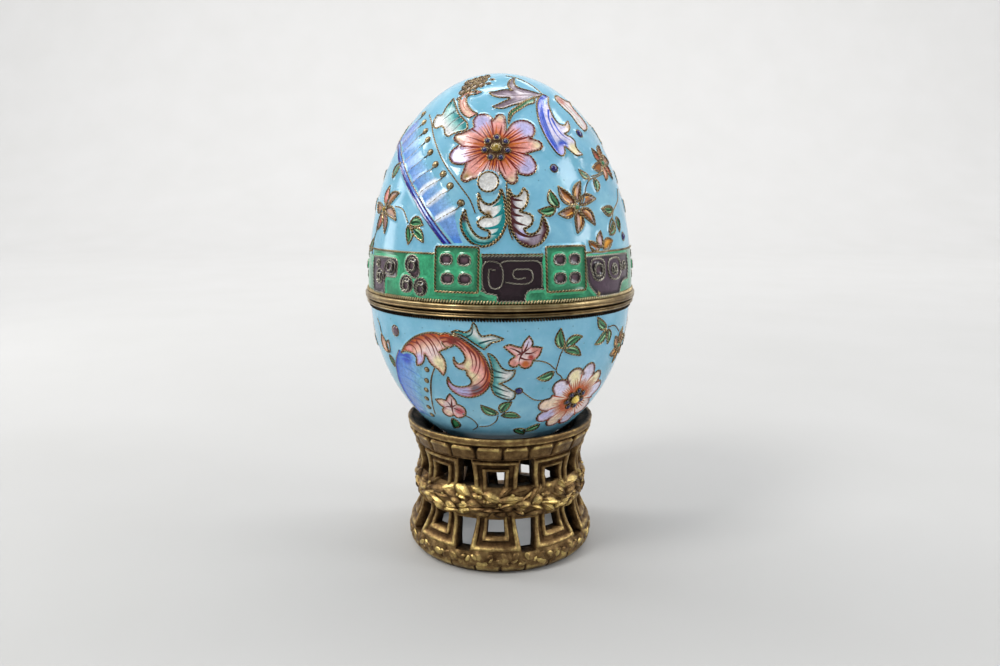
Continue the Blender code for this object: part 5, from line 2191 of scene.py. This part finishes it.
@dataclass
class EggShells:
    """The two enamelled halves under the ornament, with their counter-enamelled insides.

    Attributes:
        lid: the lid's surface.
        bowl: the bowl's surface.
        wall: the shells' thickness.
        band: the heights between which the lid's ground is green.
        steps: how many points go round.
        wave: how far the fired surface wavers.
    """

    lid: EggHalf
    bowl: EggHalf
    wall: float = 1.2
    band: Span = GREEN_BAND
    steps: int = 240
    wave: float = 0.035

    def build(self) -> None:
        """Makes the lid's dome, its green band, and the bowl."""
        self.shell(self.lid, self.band[1], self.lid.seam + self.lid.reach, GROUND, "lid_ground")
        self.shell(self.bowl, self.bowl.seam - 0.5, self.bowl.seam + self.bowl.reach, GROUND, "bowl_ground")
        heights = np.linspace(self.band[0] - 0.2, self.band[1], 26)
        section = [(float(self.lid.radius_at(z)), z) for z in heights]
        section += [(r - self.wall, z) for r, z in section[::-1]]
        points, faces = lathe(section, self.steps, closed=True)
        points = self.wavered(points, len(heights))
        band = MeshStock()
        band.add(points, faces, self.green(points))
        made = band.make("band_ground", PAINTED)
        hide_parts("egg_lid")

    def green(self, points: Array) -> Array:
        """The band's green, lighter in soft clouds."""
        share = smooth_step(wobble(points, 3.4, 5.0), -0.35, 0.5)[:, None]
        return Glaze.GREEN_DEEP.light + (0.25 + 0.6 * share) * (Glaze.GREEN.light - Glaze.GREEN_DEEP.light)

    def wavered(self, points: Array, outer: int) -> Array:
        """Lets the outside waver a little, as a fired surface does.

        Args:
            points: the lathed points, ring by ring.
            outer: how many of the rings, from the first, lie on the outside.

        Returns:
            The points, moved.
        """
        radius = np.maximum(np.hypot(points[:, 0], points[:, 1]), 1e-6)
        shift = self.wave * wobble(points, 6.0, 11.0)
        shift[outer * self.steps:] = 0
        scale = np.where(radius > 2.0, 1 + shift / radius, 1.0)
        moved = points.copy()
        moved[:, :2] *= scale[:, None]
        return moved

    def shell(self, half: EggHalf, low: float, tip: float, finish: Finish, name: str) -> None:
        """Makes one shell, from a height at its open edge to its tip.

        Args:
            half: its surface.
            low: the height of its open edge.
            tip: the height of its tip.
            finish: its finish.
            name: its piece's name.
        """
        lift = np.linspace(0, 1, 46)
        start = math.asin(min(abs(low - half.seam) / abs(half.reach), 1.0))
        rise = start + (math.pi / 2 - start) * lift
        heights = half.seam + half.reach * np.sin(rise) ** (2 / half.fullness)
        heights[0] = low
        outer = [(float(half.radius_at(z)), float(z)) for z in heights[:-1]]
        inner = [(max(r - self.wall, 0.3), z - math.copysign(self.wall * s, half.reach))
                 for (r, z), s in zip(outer, lift)]
        section = inner[::-1] + outer
        points, faces = lathe(section, self.steps)
        points = self.wavered(points[::-1], len(outer))[::-1]
        tips = np.array([[0, 0, tip], [0, 0, tip - math.copysign(self.wall, half.reach)]])
        last, total = len(points) - self.steps, len(points)
        for i in range(self.steps):
            after = (i + 1) % self.steps
            faces += [[last + i, last + after, total], [after, i, total + 1]]
        stock = MeshStock()
        stock.add(np.vstack([points, tips]), faces if half.reach > 0 else reversed_faces(faces))
        made = stock.make(name, finish)
        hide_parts(half.node)


@dataclass
class Rims:
    """The two brass rims at the seam, and the twisted borders beside them.

    Attributes:
        lid: the lid's surface.
        bowl: the bowl's surface.
        steps: how many points go round.
        band_top: the height of the wire along the top of the green band.
    """

    lid: EggHalf
    bowl: EggHalf
    steps: int = 256
    band_top: float = GREEN_BAND[1]

    def build(self) -> None:
        """Makes both rims and their borders."""
        self.lid_rim()
        self.bowl_rim()
        self.borders()

    def lid_rim(self) -> None:
        """The lid's rim, with a ridge at its top and another at its bottom."""
        section = self.section(
            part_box("lid_rim"),
            ((1.85, 0.0), (0.3, 0.0), (0.08, 0.1), (0.02, 0.28), (0.1, 0.42), (0.16, 0.48), (0.05, 0.62),
             (0.0, 0.86), (0.03, 1.06), (0.14, 1.22)),
            ((0.34, 0.05), (0.6, 0.0), (0.8, 0.0), (1.85, 0.0)))
        depth = (0.4, 0.3, 0.1, -0.1, 0.15, 0.3, 0.0, -0.15, -0.15, -0.2, 0.0, 0.4, 0.6, 0.5)
        self.turned("lid_rim_turned", section, depth, "lid_rim")

    def bowl_rim(self) -> None:
        """The bowl's rim, with the collar that the lid closes over."""
        section = self.section(
            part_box("bowl_rim"),
            ((2.6, 0.0), (0.5, 0.0), (0.2, 0.1), (0.04, 0.28), (0.16, 0.44), (0.24, 0.52), (0.1, 0.62),
             (0.0, 0.76), (0.12, 0.92), (0.35, 1.0), (2.0, 1.0)),
            ((2.05, 0.2), (2.2, 0.0), (2.55, 0.0), (2.6, 0.3)))
        depth = (0.4, 0.3, 0.1, -0.05, 0.1, 0.35, 0.1, -0.1, 0.1, 0.4, 0.3, 0.0, 0.0, 0.0, 0.1)
        self.turned("bowl_rim_turned", section, depth, "bowl_rim")

    @staticmethod
    def section(box: Sequence[Sequence[float]], lower: Sequence[Point],
                upper: Sequence[Point]) -> list[Point]:
        """A rim's section.

        Args:
            box: the rim's lowest and highest corners, in metres.
            lower: points as distances in from its edge and up from its bottom.
            upper: the points after those, as distances in from its edge and down from its top.

        Returns:
            The section, as radii and heights.
        """
        low, high = box
        edge, bottom, top = high[0] / METRES, low[2] / METRES, high[2] / METRES
        return [*((edge - inset, bottom + rise) for inset, rise in lower),
                *((edge - inset, top - drop) for inset, drop in upper)]

    def turned(self, name: str, section: Sequence[Point], depth: Sequence[float], node: str) -> None:
        """Turns one rim.

        Args:
            name: the piece's name.
            section: its section, running up its outside.
            depth: how tarnished each point of the section is.
            node: the solid that it stands for.
        """
        stock = MeshStock()
        points, faces = lathe(section, self.steps, closed=True)
        stock.add(points, faces, np.repeat(np.array(depth) * 0.5, self.steps))
        made = stock.make(name, RIM, sharp=40.0)
        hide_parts(node)

    def borders(self) -> None:
        """The beaded rows above and below the rims, and the twisted wire at the top of the band."""
        stock = MeshStock()
        rim_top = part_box("lid_rim")[1][2] / METRES
        rim_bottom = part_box("bowl_rim")[0][2] / METRES
        self.bead_row(stock, self.lid, rim_top + 0.34, count=306, size=(0.22, 0.5), lean=32.0, tarnish=0.08)
        self.bead_row(stock, self.bowl, rim_bottom - 0.36, count=300, size=(0.28, 0.46), lean=-24.0,
                      tarnish=0.62)
        around = circle(1200)
        # The wires just above the lid's rim and just below the bowl's rim are darkened nearly to black, as
        # painted shade in the crevice beside each rim.
        for half, height, thick, tarnish in ((self.lid, self.band_top, 0.24, 0.0),
                                             (self.lid, rim_top + 0.02, 0.2, 0.85),
                                             (self.bowl, rim_bottom - 0.06, 0.26, 0.95)):
            radius = float(half.radius_at(height)) + 0.06
            path = np.column_stack([radius * around, np.full(len(around), height)])
            points, faces, depth = twisted_tube(path, half.normals(path), thick, TWIST, closed=True)
            stock.add(points, faces, np.clip(depth * 0.9 + tarnish, 0, 1))
        stock.make("rim_borders", GILT_WIRE)

    def bead_row(self, stock: MeshStock, half: EggHalf, height: float, count: int, size: Point,
                 lean: float, tarnish: float) -> None:
        """A row of slanting beads, as rolled wire has.

        Args:
            stock: where the beads go.
            half: the surface that they lie on.
            height: the row's middle.
            count: how many beads go round.
            size: half a bead's width and half its length.
            lean: how far a bead leans from upright.
            tarnish: how dark the beads' crests are.
        """
        rows, sides = 5, 8
        around, ends = circle(sides), range((rows - 1) * sides, rows * sides)
        lifts = np.linspace(0.25, math.pi - 0.25, rows)
        unit = np.vstack([np.column_stack([math.sin(lift) * around, np.full(sides, math.cos(lift))])
                          for lift in lifts])
        faces = rows_of_faces(rows, sides, closed=True) + [list(range(sides))[::-1], list(ends)]
        turn = math.radians(lean)
        radius = float(half.radius_at(height)) + 0.02
        shade = np.clip(tarnish + 0.85 * (1 - (unit[:, 1] * 0.5 + 0.5)), 0, 1)
        for number in range(count):
            angle = math.tau * number / count
            out = np.array([math.sin(angle), -math.cos(angle), 0.0])
            east = np.array([math.cos(angle), math.sin(angle), 0.0])
            up = np.array([0.0, 0.0, 1.0])
            long_way = up * math.cos(turn) + east * math.sin(turn)
            wide_way = east * math.cos(turn) - up * math.sin(turn)
            points = (out * radius + up * height + unit[:, :1] * size[0] * wide_way
                      + unit[:, 1:2] * 0.3 * out + unit[:, 2:] * size[1] * long_way)
            stock.add(points, faces, shade)


@dataclass
class CastStand:
    """The pierced stand: a frieze, two galleries of nested frames, a wreath and a beaded foot.

    Attributes:
        units: how many framed windows go round each gallery.
        unit_turn: the azimuth of the first one's middle.
        blocks: how many blocks the frieze has.
        block_turn: the azimuth of a gap between two of them.
        window_half: how far each window reaches from its unit's middle, as drawn.
        windows: the heights that the windows of the two galleries are open between.
        gap_start: how far from a unit's middle the gap between two frames begins, as drawn.
        gaps: the heights that those gaps are open between.
        per_degree: how far apart two places a degree apart are.
        edge: how far from a unit's middle the frames' splay stops growing, as drawn.
        widest: the greatest radius that the casting may reach.
        leaves: how many leaves the wreath has, in five rows.
        berries: how many berries lie among them.
        lumps: how many chased leaves and buds go round the foot.
        profile: heights with the outer and inner radius at each.
    """

    units: int = 9
    unit_turn: float = -2.8
    blocks: int = 22
    block_turn: float = 1.5
    window_half: float = 4.7
    windows: Sequence[Span] = ((18.7, 22.1), (8.0, 11.3))
    gap_start: float = 11.5
    gaps: Sequence[Span] = ((18.7, 24.9), (4.8, 11.3))
    per_degree: float = 0.342
    edge: float = 11.6
    widest: float = 21.75
    leaves: int = 170
    berries: int = 48
    lumps: int = 150
    profile: Sequence[tuple[float, float, float]] = (
        (0.0, 19.7, 17.5), (0.5, 20.1, 17.5), (1.5, 20.9, 17.6), (3.0, 21.3, 17.7), (4.0, 21.25, 17.8),
        (5.2, 20.8, 17.8), (6.6, 20.1, 17.6), (8.0, 19.35, 17.2), (9.3, 18.75, 16.8), (10.6, 18.4, 16.5),
        (11.6, 18.4, 16.4), (12.4, 18.75, 16.4), (15.2, 19.35, 16.5), (17.6, 19.1, 16.5), (18.7, 18.75, 16.5),
        (20.65, 18.5, 16.4), (22.1, 18.7, 16.5), (23.6, 19.05, 16.6), (24.9, 19.5, 16.8), (26.1, 20.0, 17.0),
        (27.9, 20.7, 17.3), (28.7, 21.0, 18.0), (29.5, 21.25, 20.0), (30.05, 21.1, 20.4))

    def build(self) -> None:
        """Makes the casting, its wreath and its foot beads."""
        self.casting()
        self.wreath()
        self.foot_beads()

    @property
    def half_unit(self) -> float:
        """How far a unit reaches from its middle, in degrees."""
        return 180 / self.units

    @staticmethod
    def place(azimuth: Array, height: Array, radius: Array) -> Array:
        """Points at azimuths, heights and radii."""
        angle = np.radians(azimuth)
        return np.stack([radius * np.sin(angle), -radius * np.cos(angle), height], axis=-1)

    def columns(self) -> Array:
        """The azimuths of the casting's columns of points, closer together across the frames."""
        half = (0.0, 1.1, 2.2, 3.3, 4.2, 4.7, 5.05, 5.4, 5.75, 6.1, 6.4, 6.75, 7.2, 7.7, 8.3, 8.9, 9.25, 9.6,
                10.05, 10.5, 10.85, 11.2, 11.5, 12.6, 13.8, 15.0, 16.2, 17.5, 18.8, 20.0)
        unit = sorted({-x for x in half[1:-1]} | set(half))
        middles = [self.unit_turn + 2 * self.half_unit * number for number in range(self.units)]
        return np.array([middle + x for middle in middles for x in unit])

    def heights(self) -> Array:
        """The heights of the casting's rows of points."""
        marks = (0.0, 4.8, 8.0, 11.3, 12.4, 18.7, 22.1, 24.9, 28.5, 30.05)
        steps = (13, 12, 11, 4, 12, 12, 10, 13, 7)
        rows = [np.linspace(a, b, n, endpoint=False) for a, b, n in zip(marks, marks[1:], steps)]
        return np.concatenate([*rows, [marks[-1]]])

    def splay(self, height: Array) -> Array:
        """How much wider than their drawing the frames are at a height."""
        return np.interp(height, (4.8, 11.8, 18.7, 25.0), (1.36, 1.12, 1.22, 1.36))

    def splayed(self, local: Array, height: Array) -> Array:
        """Moves a unit's columns apart where its frames splay.

        Args:
            local: degrees from the unit's middle, as drawn.
            height: heights.

        Returns:
            Degrees from the unit's middle, on the casting.
        """
        across, wide = np.abs(local), self.splay(height)
        edge, end = self.edge, self.half_unit
        beyond = edge * wide + (across - edge) * (end - edge * wide) / (end - edge)
        return np.sign(local) * np.where(across < edge, across * wide, beyond)

    def relief(self, local: Array, height: Array) -> tuple[Array, Array]:
        """The relief of one unit.

        Args:
            local: degrees from the unit's middle, as drawn.
            height: heights.

        Returns:
            How far the surface stands out, and how dark its patina is from 0 to 1.
        """
        across = np.abs(local) * self.per_degree
        flat = np.stack([across.ravel(), height.ravel()], axis=1)
        raised = np.zeros(len(flat))
        for line, width, rise in (
                (((1.98, 18.0), (1.98, 22.55), (0.0, 22.55)), 0.35, 0.3),
                (((3.52, 18.0), (3.52, 24.1), (0.0, 24.1)), 0.42, 0.4),
                (((1.98, 12.6), (1.98, 7.4), (0.0, 7.4)), 0.35, 0.3),
                (((3.52, 12.6), (3.52, 5.6), (0.0, 5.6)), 0.42, 0.4)):
            away = distance_to_line(flat, np.array(line)) / width
            raised = np.maximum(raised, rise * np.sqrt(np.clip(1 - away**2, 0, 1)))
        raised = raised.reshape(across.shape)
        gallery = within(height, (18.4, 24.85), (5.1, 12.2))
        sunk = gallery & (across > 2.0) & (across < 3.6)
        sunk |= gallery & (across <= 3.6) & ((height > 22.7) | (height < 7.3))
        groove = np.where(sunk & (raised < 0.06), 0.3, 0.0)
        shade = np.where(gallery, 0.46 - 0.55 * raised, 0.42) + groove * 0.6
        return raised - groove, shade

    def frieze(self, azimuth: Array, height: Array) -> tuple[Array, Array]:
        """The frieze's rounded blocks and the lip's two bead lines.

        Args:
            azimuth: azimuths.
            height: heights.

        Returns:
            How far the surface stands out, and how much darker it is.
        """
        pitch = 360 / self.blocks
        local = np.abs(((azimuth - self.block_turn) / pitch) % 1 - 0.5) * 2
        gap = 0.95 - 0.2 * smooth_step(height, 27.0, 28.3)
        side = 1 - smooth_step(local, gap - 0.12, gap + 0.04)
        tall = smooth_step(height, 24.95, 25.35) * (1 - smooth_step(height, 27.95, 28.4))
        body = within(height, (24.92, 28.45))
        crown = 0.3 * np.exp(-((height - 27.65) / 0.34) ** 2) * (0.5 + 0.5 * smooth_step(local, 0.2, 0.7))
        out = np.where(body, -0.34 + side * tall * (0.5 + crown), 0.0)
        bead = 0.18 * np.exp(-((height - 28.75) / 0.18) ** 2) + 0.16 * np.exp(-((height - 29.8) / 0.2) ** 2)
        # Darker between the blocks. The lightening along each block's rounded top is a painted highlight.
        dark = np.where(body, 0.36 * (1 - side * tall) - 1.5 * side * tall * crown, 0.0)
        return out + bead, dark - bead * 1.2

    def foot(self, azimuth: Array, height: Array) -> tuple[Array, Array]:
        """The foot's chased leaves, and the row of blocks along its bottom edge.

        Args:
            azimuth: azimuths.
            height: heights.

        Returns:
            How far the surface stands out, and how much darker it is.
        """
        body = smooth_step(height, 2.0, 2.6) * smooth_step(-height, -5.1, -4.2)
        wave = np.cos(np.radians(azimuth) * 24 + 1.2 * np.sin(height * 1.1))
        fold = np.cos(np.radians(azimuth) * 60 + height * 1.7)
        out = body * (0.14 * wave + 0.12 * fold)
        local = np.abs((azimuth / 15) % 1 - 0.5) * 2
        block = smooth_step(height, 0.05, 0.6) * (1 - smooth_step(height, 1.6, 2.1))
        gap = smooth_step(local, 0.9, 0.99) * (height < 2.1)
        out = out + 0.26 * block * (1 - gap) - 0.16 * gap
        return out, -0.7 * out + 0.25 * gap

    def voids(self, local: Array, height: Array) -> Array:
        """Which places are pierced through."""
        across = np.abs(local)
        window = (across < self.window_half) & within(height, *self.windows)
        gap = (across > self.gap_start) & within(height, *self.gaps)
        return window | gap

    def casting(self) -> None:
        """Makes the casting, pierced through, with walls round each piercing."""
        azimuth, height = self.columns(), self.heights()
        drawn, up = np.meshgrid(azimuth, height)
        local = (drawn - self.unit_turn + self.half_unit) % (2 * self.half_unit) - self.half_unit
        around = drawn - local + self.splayed(local, up)
        out, shade = self.relief(local, up)
        for extra, dark in (self.frieze(around, up), self.foot(around, up)):
            out, shade = out + extra, shade + dark
        table = np.array(self.profile)
        outer = np.interp(up, table[:, 0], table[:, 1])
        inner = np.interp(up, table[:, 0], table[:, 2])
        plain = self.place(around, up, outer).reshape(-1, 3)
        rough = 0.07 * wobble(plain, 1.5, 3.0) + 0.06 * wobble(plain, 4.0, 9.0)
        outer = np.minimum(outer + out + rough.reshape(outer.shape), self.widest)
        front = self.place(around, up, outer).reshape(-1, 3)
        back = self.place(around, up, inner).reshape(-1, 3)
        middle_up = (height[:-1] + height[1:]) / 2
        middle_across = local[0] + np.diff(np.append(azimuth, azimuth[0] + 360)) / 2
        faces = self.pierced_faces(self.voids(*np.meshgrid(middle_across, middle_up)))
        # The front keeps the relief's patina and wear. The whole inside is painted nearly black as painted
        # shade.
        tarnish = np.concatenate([np.clip(shade, 0, 1).ravel(), np.full(len(back), 0.86)])
        stock = MeshStock()
        stock.add(np.vstack([front, back]), faces, tarnish)
        made = stock.make("stand_casting", CAST, sharp=48.0)
        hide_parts("stand")

    @staticmethod
    def pierced_faces(pierced: Array) -> Faces:
        """The faces of a pierced wall: its front, its back, and the sides of its piercings.

        Args:
            pierced: for each place of the net, by row and column, whether it is open.

        Returns:
            The faces. The back's points follow the front's.
        """
        rows, columns = pierced.shape
        total = (rows + 1) * columns
        faces = []
        for row, column in zip(*np.nonzero(~pierced)):
            after = (column + 1) % columns
            a, b = row * columns + column, row * columns + after
            c, d = a + columns, b + columns
            faces += [[a, b, d, c], [total + c, total + d, total + b, total + a]]
            for is_edge, start, end in (
                    (row == 0 or pierced[row - 1, column], b, a),
                    (row == rows - 1 or pierced[row + 1, column], c, d),
                    (pierced[row, column - 1], a, c), (pierced[row, after], d, b)):
                if is_edge:
                    faces.append([start, end, total + end, total + start])
        return faces

    @staticmethod
    def waist(height: Array | float, widest: float) -> Array | float:
        """The radius that the wreath lies on at a height, given the greatest one."""
        return widest - 0.06 * (height - 15.3) ** 2

    def wreath(self) -> None:
        """The laurel wreath round the waist: long overlapping leaves, with berries among them."""
        stock = MeshStock()
        rise = np.array([0.0, 0.12, 0.3, 0.5, 0.72, 0.88, 1.0])
        width = np.array([0.1, 0.62, 0.95, 1.0, 0.7, 0.36, 0.02])
        across = np.array([-1.0, -0.55, -0.12, 0.0, 0.12, 0.55, 1.0])
        bulge = np.array([0.0, 0.8, 0.95, 0.45, 0.95, 0.8, 0.0])
        # For each row: how far round it starts, its height, and how its leaves slant.
        rows = ((0.0, 12.7, 18), (5.5, 13.9, 8), (2.6, 15.2, -4), (8.4, 16.5, -14), (4.1, 17.8, -24))
        # Sines of a leaf's number make each leaf a little different, as carving by hand does.
        for number in range(self.leaves):
            start, level, slant = rows[number % len(rows)]
            step = 360 / (self.leaves // len(rows)) * (number // len(rows))
            azimuth = -180 + step + start + 2.6 * math.sin(number * 2.4)
            flip = -1 if (azimuth % 72) < 36 else 1
            height = level + 0.4 * math.sin(number * 1.7)
            lean = math.radians(slant + 24 * math.sin(number * 3.1)) * flip
            length = 4.6 + 1.6 * math.sin(number * 5.3)
            u = (rise[:, None] - 0.5) * length * flip
            v = width[:, None] * across[None] * (0.95 + 0.35 * math.sin(number * 4.1))
            x = u * math.cos(lean) - v * math.sin(lean)
            z = u * math.sin(lean) + v * math.cos(lean)
            lift = np.sin(math.pi * np.clip(rise, 0.05, 0.97))[:, None] * 0.5 * bulge[None] * width[:, None]
            tip = 0.4 * rise[:, None] ** 2
            high = np.clip(height + z, 11.7, 18.9)
            radius = self.waist(high, 19.3) + 0.2 + lift + tip - 0.3 * np.abs(across)[None]
            radius = radius + 0.18 * math.sin(number * 9.1)
            points = self.place(azimuth + np.degrees(x / 19.4), high, radius).reshape(-1, 3)
            # Two broad patches, at the front left and at the right, are lightened as a painted highlight.
            highlight_patches = math.exp(-((azimuth + 27) / 15) ** 2) + math.exp(-((azimuth - 38) / 14) ** 2)
            shade = 0.6 - 0.38 * lift / 0.5 + 0.16 * math.sin(number * 7.7) - 0.2 * highlight_patches
            faces = rows_of_faces(len(rise), len(across), closed=False)
            stock.add(points, reversed_faces(faces) if flip > 0 else faces, np.clip(shade, 0, 1).ravel())
        for number in range(self.berries):
            azimuth = 360 / self.berries * number + 2.3 * math.sin(number * 2.9)
            height = 15.2 + 2.4 * math.sin(number * 2.2)
            centre = self.place(azimuth, height, self.waist(height, 19.45))
            normal = centre * (1, 1, 0) / np.hypot(centre[0], centre[1])
            points, faces = dome_mesh(centre, normal, 0.42 + 0.1 * math.sin(number), 0.55, steps=12)
            stock.add(points, faces, 0.12)
        stock.make("stand_wreath", CAST, sharp=50.0)

    def foot_beads(self) -> None:
        """The row of small chased leaves and buds round the foot."""
        stock = MeshStock()
        table = np.array(self.profile)
        for number in range(self.lumps):
            azimuth = 360 / self.lumps * number + 1.1 * math.sin(number * 2.7)
            height = 3.1 + 0.8 * math.sin(number * 2.1)
            radius = float(np.interp(height, table[:, 0], table[:, 1])) - 0.12
            centre = self.place(azimuth, height, radius)
            normal = self.place(azimuth, 0.0, 1.0)
            size = 0.55 + 0.2 * math.sin(number * 1.9)
            points, faces = dome_mesh(np.zeros(3), normal, size, 0.34, steps=10, rings=3)
            side = self.place(azimuth + 90, 0.0, 1.0)
            lean = math.sin(number * 5.1)
            axis = side * math.cos(lean) + np.array([0, 0, 1]) * math.sin(lean)
            points = centre + points + 0.8 * (points @ axis)[:, None] * axis
            stock.add(points, faces, 0.3 + 0.18 * math.sin(number * 3.3))
        stock.make("stand_foot_lumps", CAST)


@dataclass(frozen=True)
class PaperSweep(Finish):
    """Matt white background paper, with a faint tooth."""

    fair: str = "#b3b3b2"
    dull: str = "#adadab"

    def dress(self, tree: bpy.types.NodeTree, shader: bpy.types.Node) -> None:
        """Builds the slightly uneven matt white."""
        place = add_node(tree, "ShaderNodeTexCoord").outputs["Object"]
        cloud = add_node(tree, "ShaderNodeTexNoise", {
            "Vector": place, "Scale": per_metre(60.0), "Detail": 3.0})
        colour = add_node(tree, "ShaderNodeMix", {
            0: cloud.outputs["Fac"], 6: (*linear(self.dull), 1.0), 7: (*linear(self.fair), 1.0)},
            data_type="RGBA")
        set_inputs(shader, {"Base Color": colour.outputs[2], "Roughness": 0.8})


@dataclass(frozen=True)
class SoftBox:
    """A lamp behind a square of diffusing cloth. Its lengths are in metres.

    Attributes:
        name: its name.
        place: where it is.
        aim: the place that it faces.
        size: its width and height.
        power: its power in watts.
        colour: its colour in linear light.
        in_gloss: whether shiny surfaces reflect it.
    """

    name: str
    place: tuple[float, float, float]
    aim: tuple[float, float, float]
    size: Point
    power: float
    colour: tuple[float, float, float] = (1.0, 1.0, 1.0)
    in_gloss: bool = True

    def set_up(self) -> None:
        """Makes the lamp, which the camera doesn't see."""
        light = bpy.data.lights.new(self.name, "AREA")
        light.shape = "RECTANGLE"
        light.size, light.size_y = self.size
        light.energy = self.power
        light.color = self.colour
        lamp = bpy.data.objects.new(self.name, light)
        lamp.visible_camera = False
        lamp.visible_glossy = self.in_gloss
        lamp.location = self.place
        lamp.rotation_euler = (Vector(self.aim) - Vector(self.place)).to_track_quat("-Z", "Y").to_euler()
        bpy.context.scene.collection.objects.link(lamp)


@dataclass
class Studio:
    """The paper sweep, the room, the soft boxes and the camera. Its lengths are in metres.

    Attributes:
        floor_depth: how far behind the egg the paper starts to curve up.
        bend: the curve's radius.
        wall: the upright paper's height.
        camera_place: where the camera is.
        camera_dip: how far down it looks, in degrees.
        lens: its focal length in millimetres, on a frame 36 mm wide.
        boxes: the lamps.
    """

    floor_depth: float = 0.85
    bend: float = 0.5
    wall: float = 1.6
    camera_place: tuple[float, float, float] = (0.0, -0.169, 0.0796)
    camera_dip: float = 10.4
    lens: float = 27.0
    boxes: Sequence[SoftBox] = (
        SoftBox("key_box", (-0.42, -0.3, 0.62), (0, 0, 0.06), (0.2, 0.26), 3.2, (1.0, 0.985, 0.965)),
        SoftBox("fill_box", (0.42, -0.12, 0.26), (0, 0, 0.07), (0.14, 0.28), 0.78, (0.97, 0.98, 1.0)),
        SoftBox("side_box", (-0.42, 0.14, 0.24), (0, 0, 0.07), (0.12, 0.34), 0.42),
        SoftBox("low_box", (0.0, -0.55, 0.05), (0, 0, 0.05), (0.6, 0.08), 0.68, in_gloss=False),
        SoftBox("under_box", (0.0, 0.0, 0.0165), (0, 0.001, 0), (0.022, 0.022), 0.002, (0.95, 0.97, 1.0),
                in_gloss=False),
        SoftBox("paper_box", (0.0, 0.4, 1.15), (0, 1.27, 0.4), (3.4, 0.5), 45.0, (1.0, 0.99, 1.0)))

    def build(self) -> None:
        """Sets up everything round the object."""
        self.sweep()
        self.room()
        for box in self.boxes:
            box.set_up()
        self.camera()

    def sweep(self) -> None:
        """The paper, from under the camera to behind the egg and up."""
        turn = np.linspace(0, math.pi / 2, 24)
        line = [(-1.2, 0.0), (self.floor_depth, 0.0)]
        line += [(self.floor_depth + self.bend * math.sin(angle), self.bend * (1 - math.cos(angle)))
                 for angle in turn[1:]]
        line.append((self.floor_depth + self.bend, self.wall))
        verts = [(x, y, z) for y, z in line for x in (-2.4, 2.4)]
        faces = [(2 * i, 2 * i + 1, 2 * i + 3, 2 * i + 2) for i in range(len(line) - 1)]
        mesh = bpy.data.meshes.new("paper")
        mesh.from_pydata(verts, [], faces)
        mesh.shade_smooth()
        paper = bpy.data.objects.new("paper", mesh)
        bpy.context.scene.collection.objects.link(paper)
        paper.data.materials.append(PaperSweep("background_paper", "enamel").material())

    def room(self) -> None:
        """A pale room, dim behind the camera and low down."""
        world = bpy.data.worlds.new("studio_room")
        world.use_nodes = True
        tree = world.node_tree
        toward = add_node(tree, "ShaderNodeSeparateXYZ", {
            0: add_node(tree, "ShaderNodeTexCoord").outputs["Generated"]})
        lean = add_node(tree, "ShaderNodeMath", {
            0: toward.outputs["Z"], 1: 0.9, 2: toward.outputs["Y"]}, operation="MULTIPLY_ADD")
        glow = add_node(tree, "ShaderNodeMapRange", {
            "Value": lean.outputs["Value"], "From Min": -0.55, "From Max": 0.75,
            "To Min": 0.26, "To Max": 0.53})
        set_inputs(tree.nodes["Background"], {
            "Color": (0.96, 0.98, 1.0, 1.0), "Strength": glow.outputs["Result"]})
        bpy.context.scene.world = world

    def camera(self) -> None:
        """The camera, close in front of the egg and looking slightly down."""
        data = bpy.data.cameras.new("camera")
        data.lens = self.lens
        data.sensor_width = 36.0
        data.clip_start = 0.01
        camera = bpy.data.objects.new("camera", data)
        camera.location = self.camera_place
        camera.rotation_euler = (math.pi / 2 - math.radians(self.camera_dip), 0.0, 0.0)
        bpy.context.scene.collection.objects.link(camera)
        bpy.context.scene.camera = camera
        bpy.context.scene.view_settings.view_transform = "Standard"


def egg_halves() -> tuple[EggHalf, EggHalf]:
    """Takes the sizes of the lid's and the bowl's surfaces from the frame."""
    lid_rim, bowl_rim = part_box("lid_rim"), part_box("bowl_rim")
    seam = lid_rim[0][2] / METRES - 0.15
    room = 0.18  # left under the solids' surface for the wires and the raised enamel
    lid = EggHalf("egg_lid", radius=lid_rim[1][0] / METRES - 0.5 - room,
                  reach=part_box("egg_lid")[1][2] / METRES - seam - room, fullness=2.1, seam=seam)
    bowl = EggHalf("egg_bowl", radius=bowl_rim[1][0] / METRES - 0.6 - room,
                   reach=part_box("egg_bowl")[0][2] / METRES - seam + room, fullness=2.0, seam=seam)
    return lid, bowl


def main() -> None:
    """Builds every part of the egg, its stand and the studio round them."""
    logging.basicConfig(level=logging.INFO, format="%(message)s")
    lid, bowl = egg_halves()
    EggShells(lid, bowl).build()
    Rims(lid, bowl).build()
    for name, turn, mirrored, fine in (("front", 0.0, False, 1.0), ("back", 180.0, True, 0.75)):
        for part, half, kind in (("lid", lid, LidOrnament), ("bowl", bowl, BowlOrnament)):
            tray = Tray(f"{part}_{name}", fine)
            kind(half, tray, turn, mirrored).build()
            tray.make()
        tray = Tray(f"band_{name}", fine, ground_glaze=Glaze.GREEN, ground_top=GREEN_BAND[1] + 0.05)
        BandOrnament(lid, tray, turn).build()
        tray.make()
    CastStand().build()
    Studio().build()


if __name__ == "__main__":
    main()
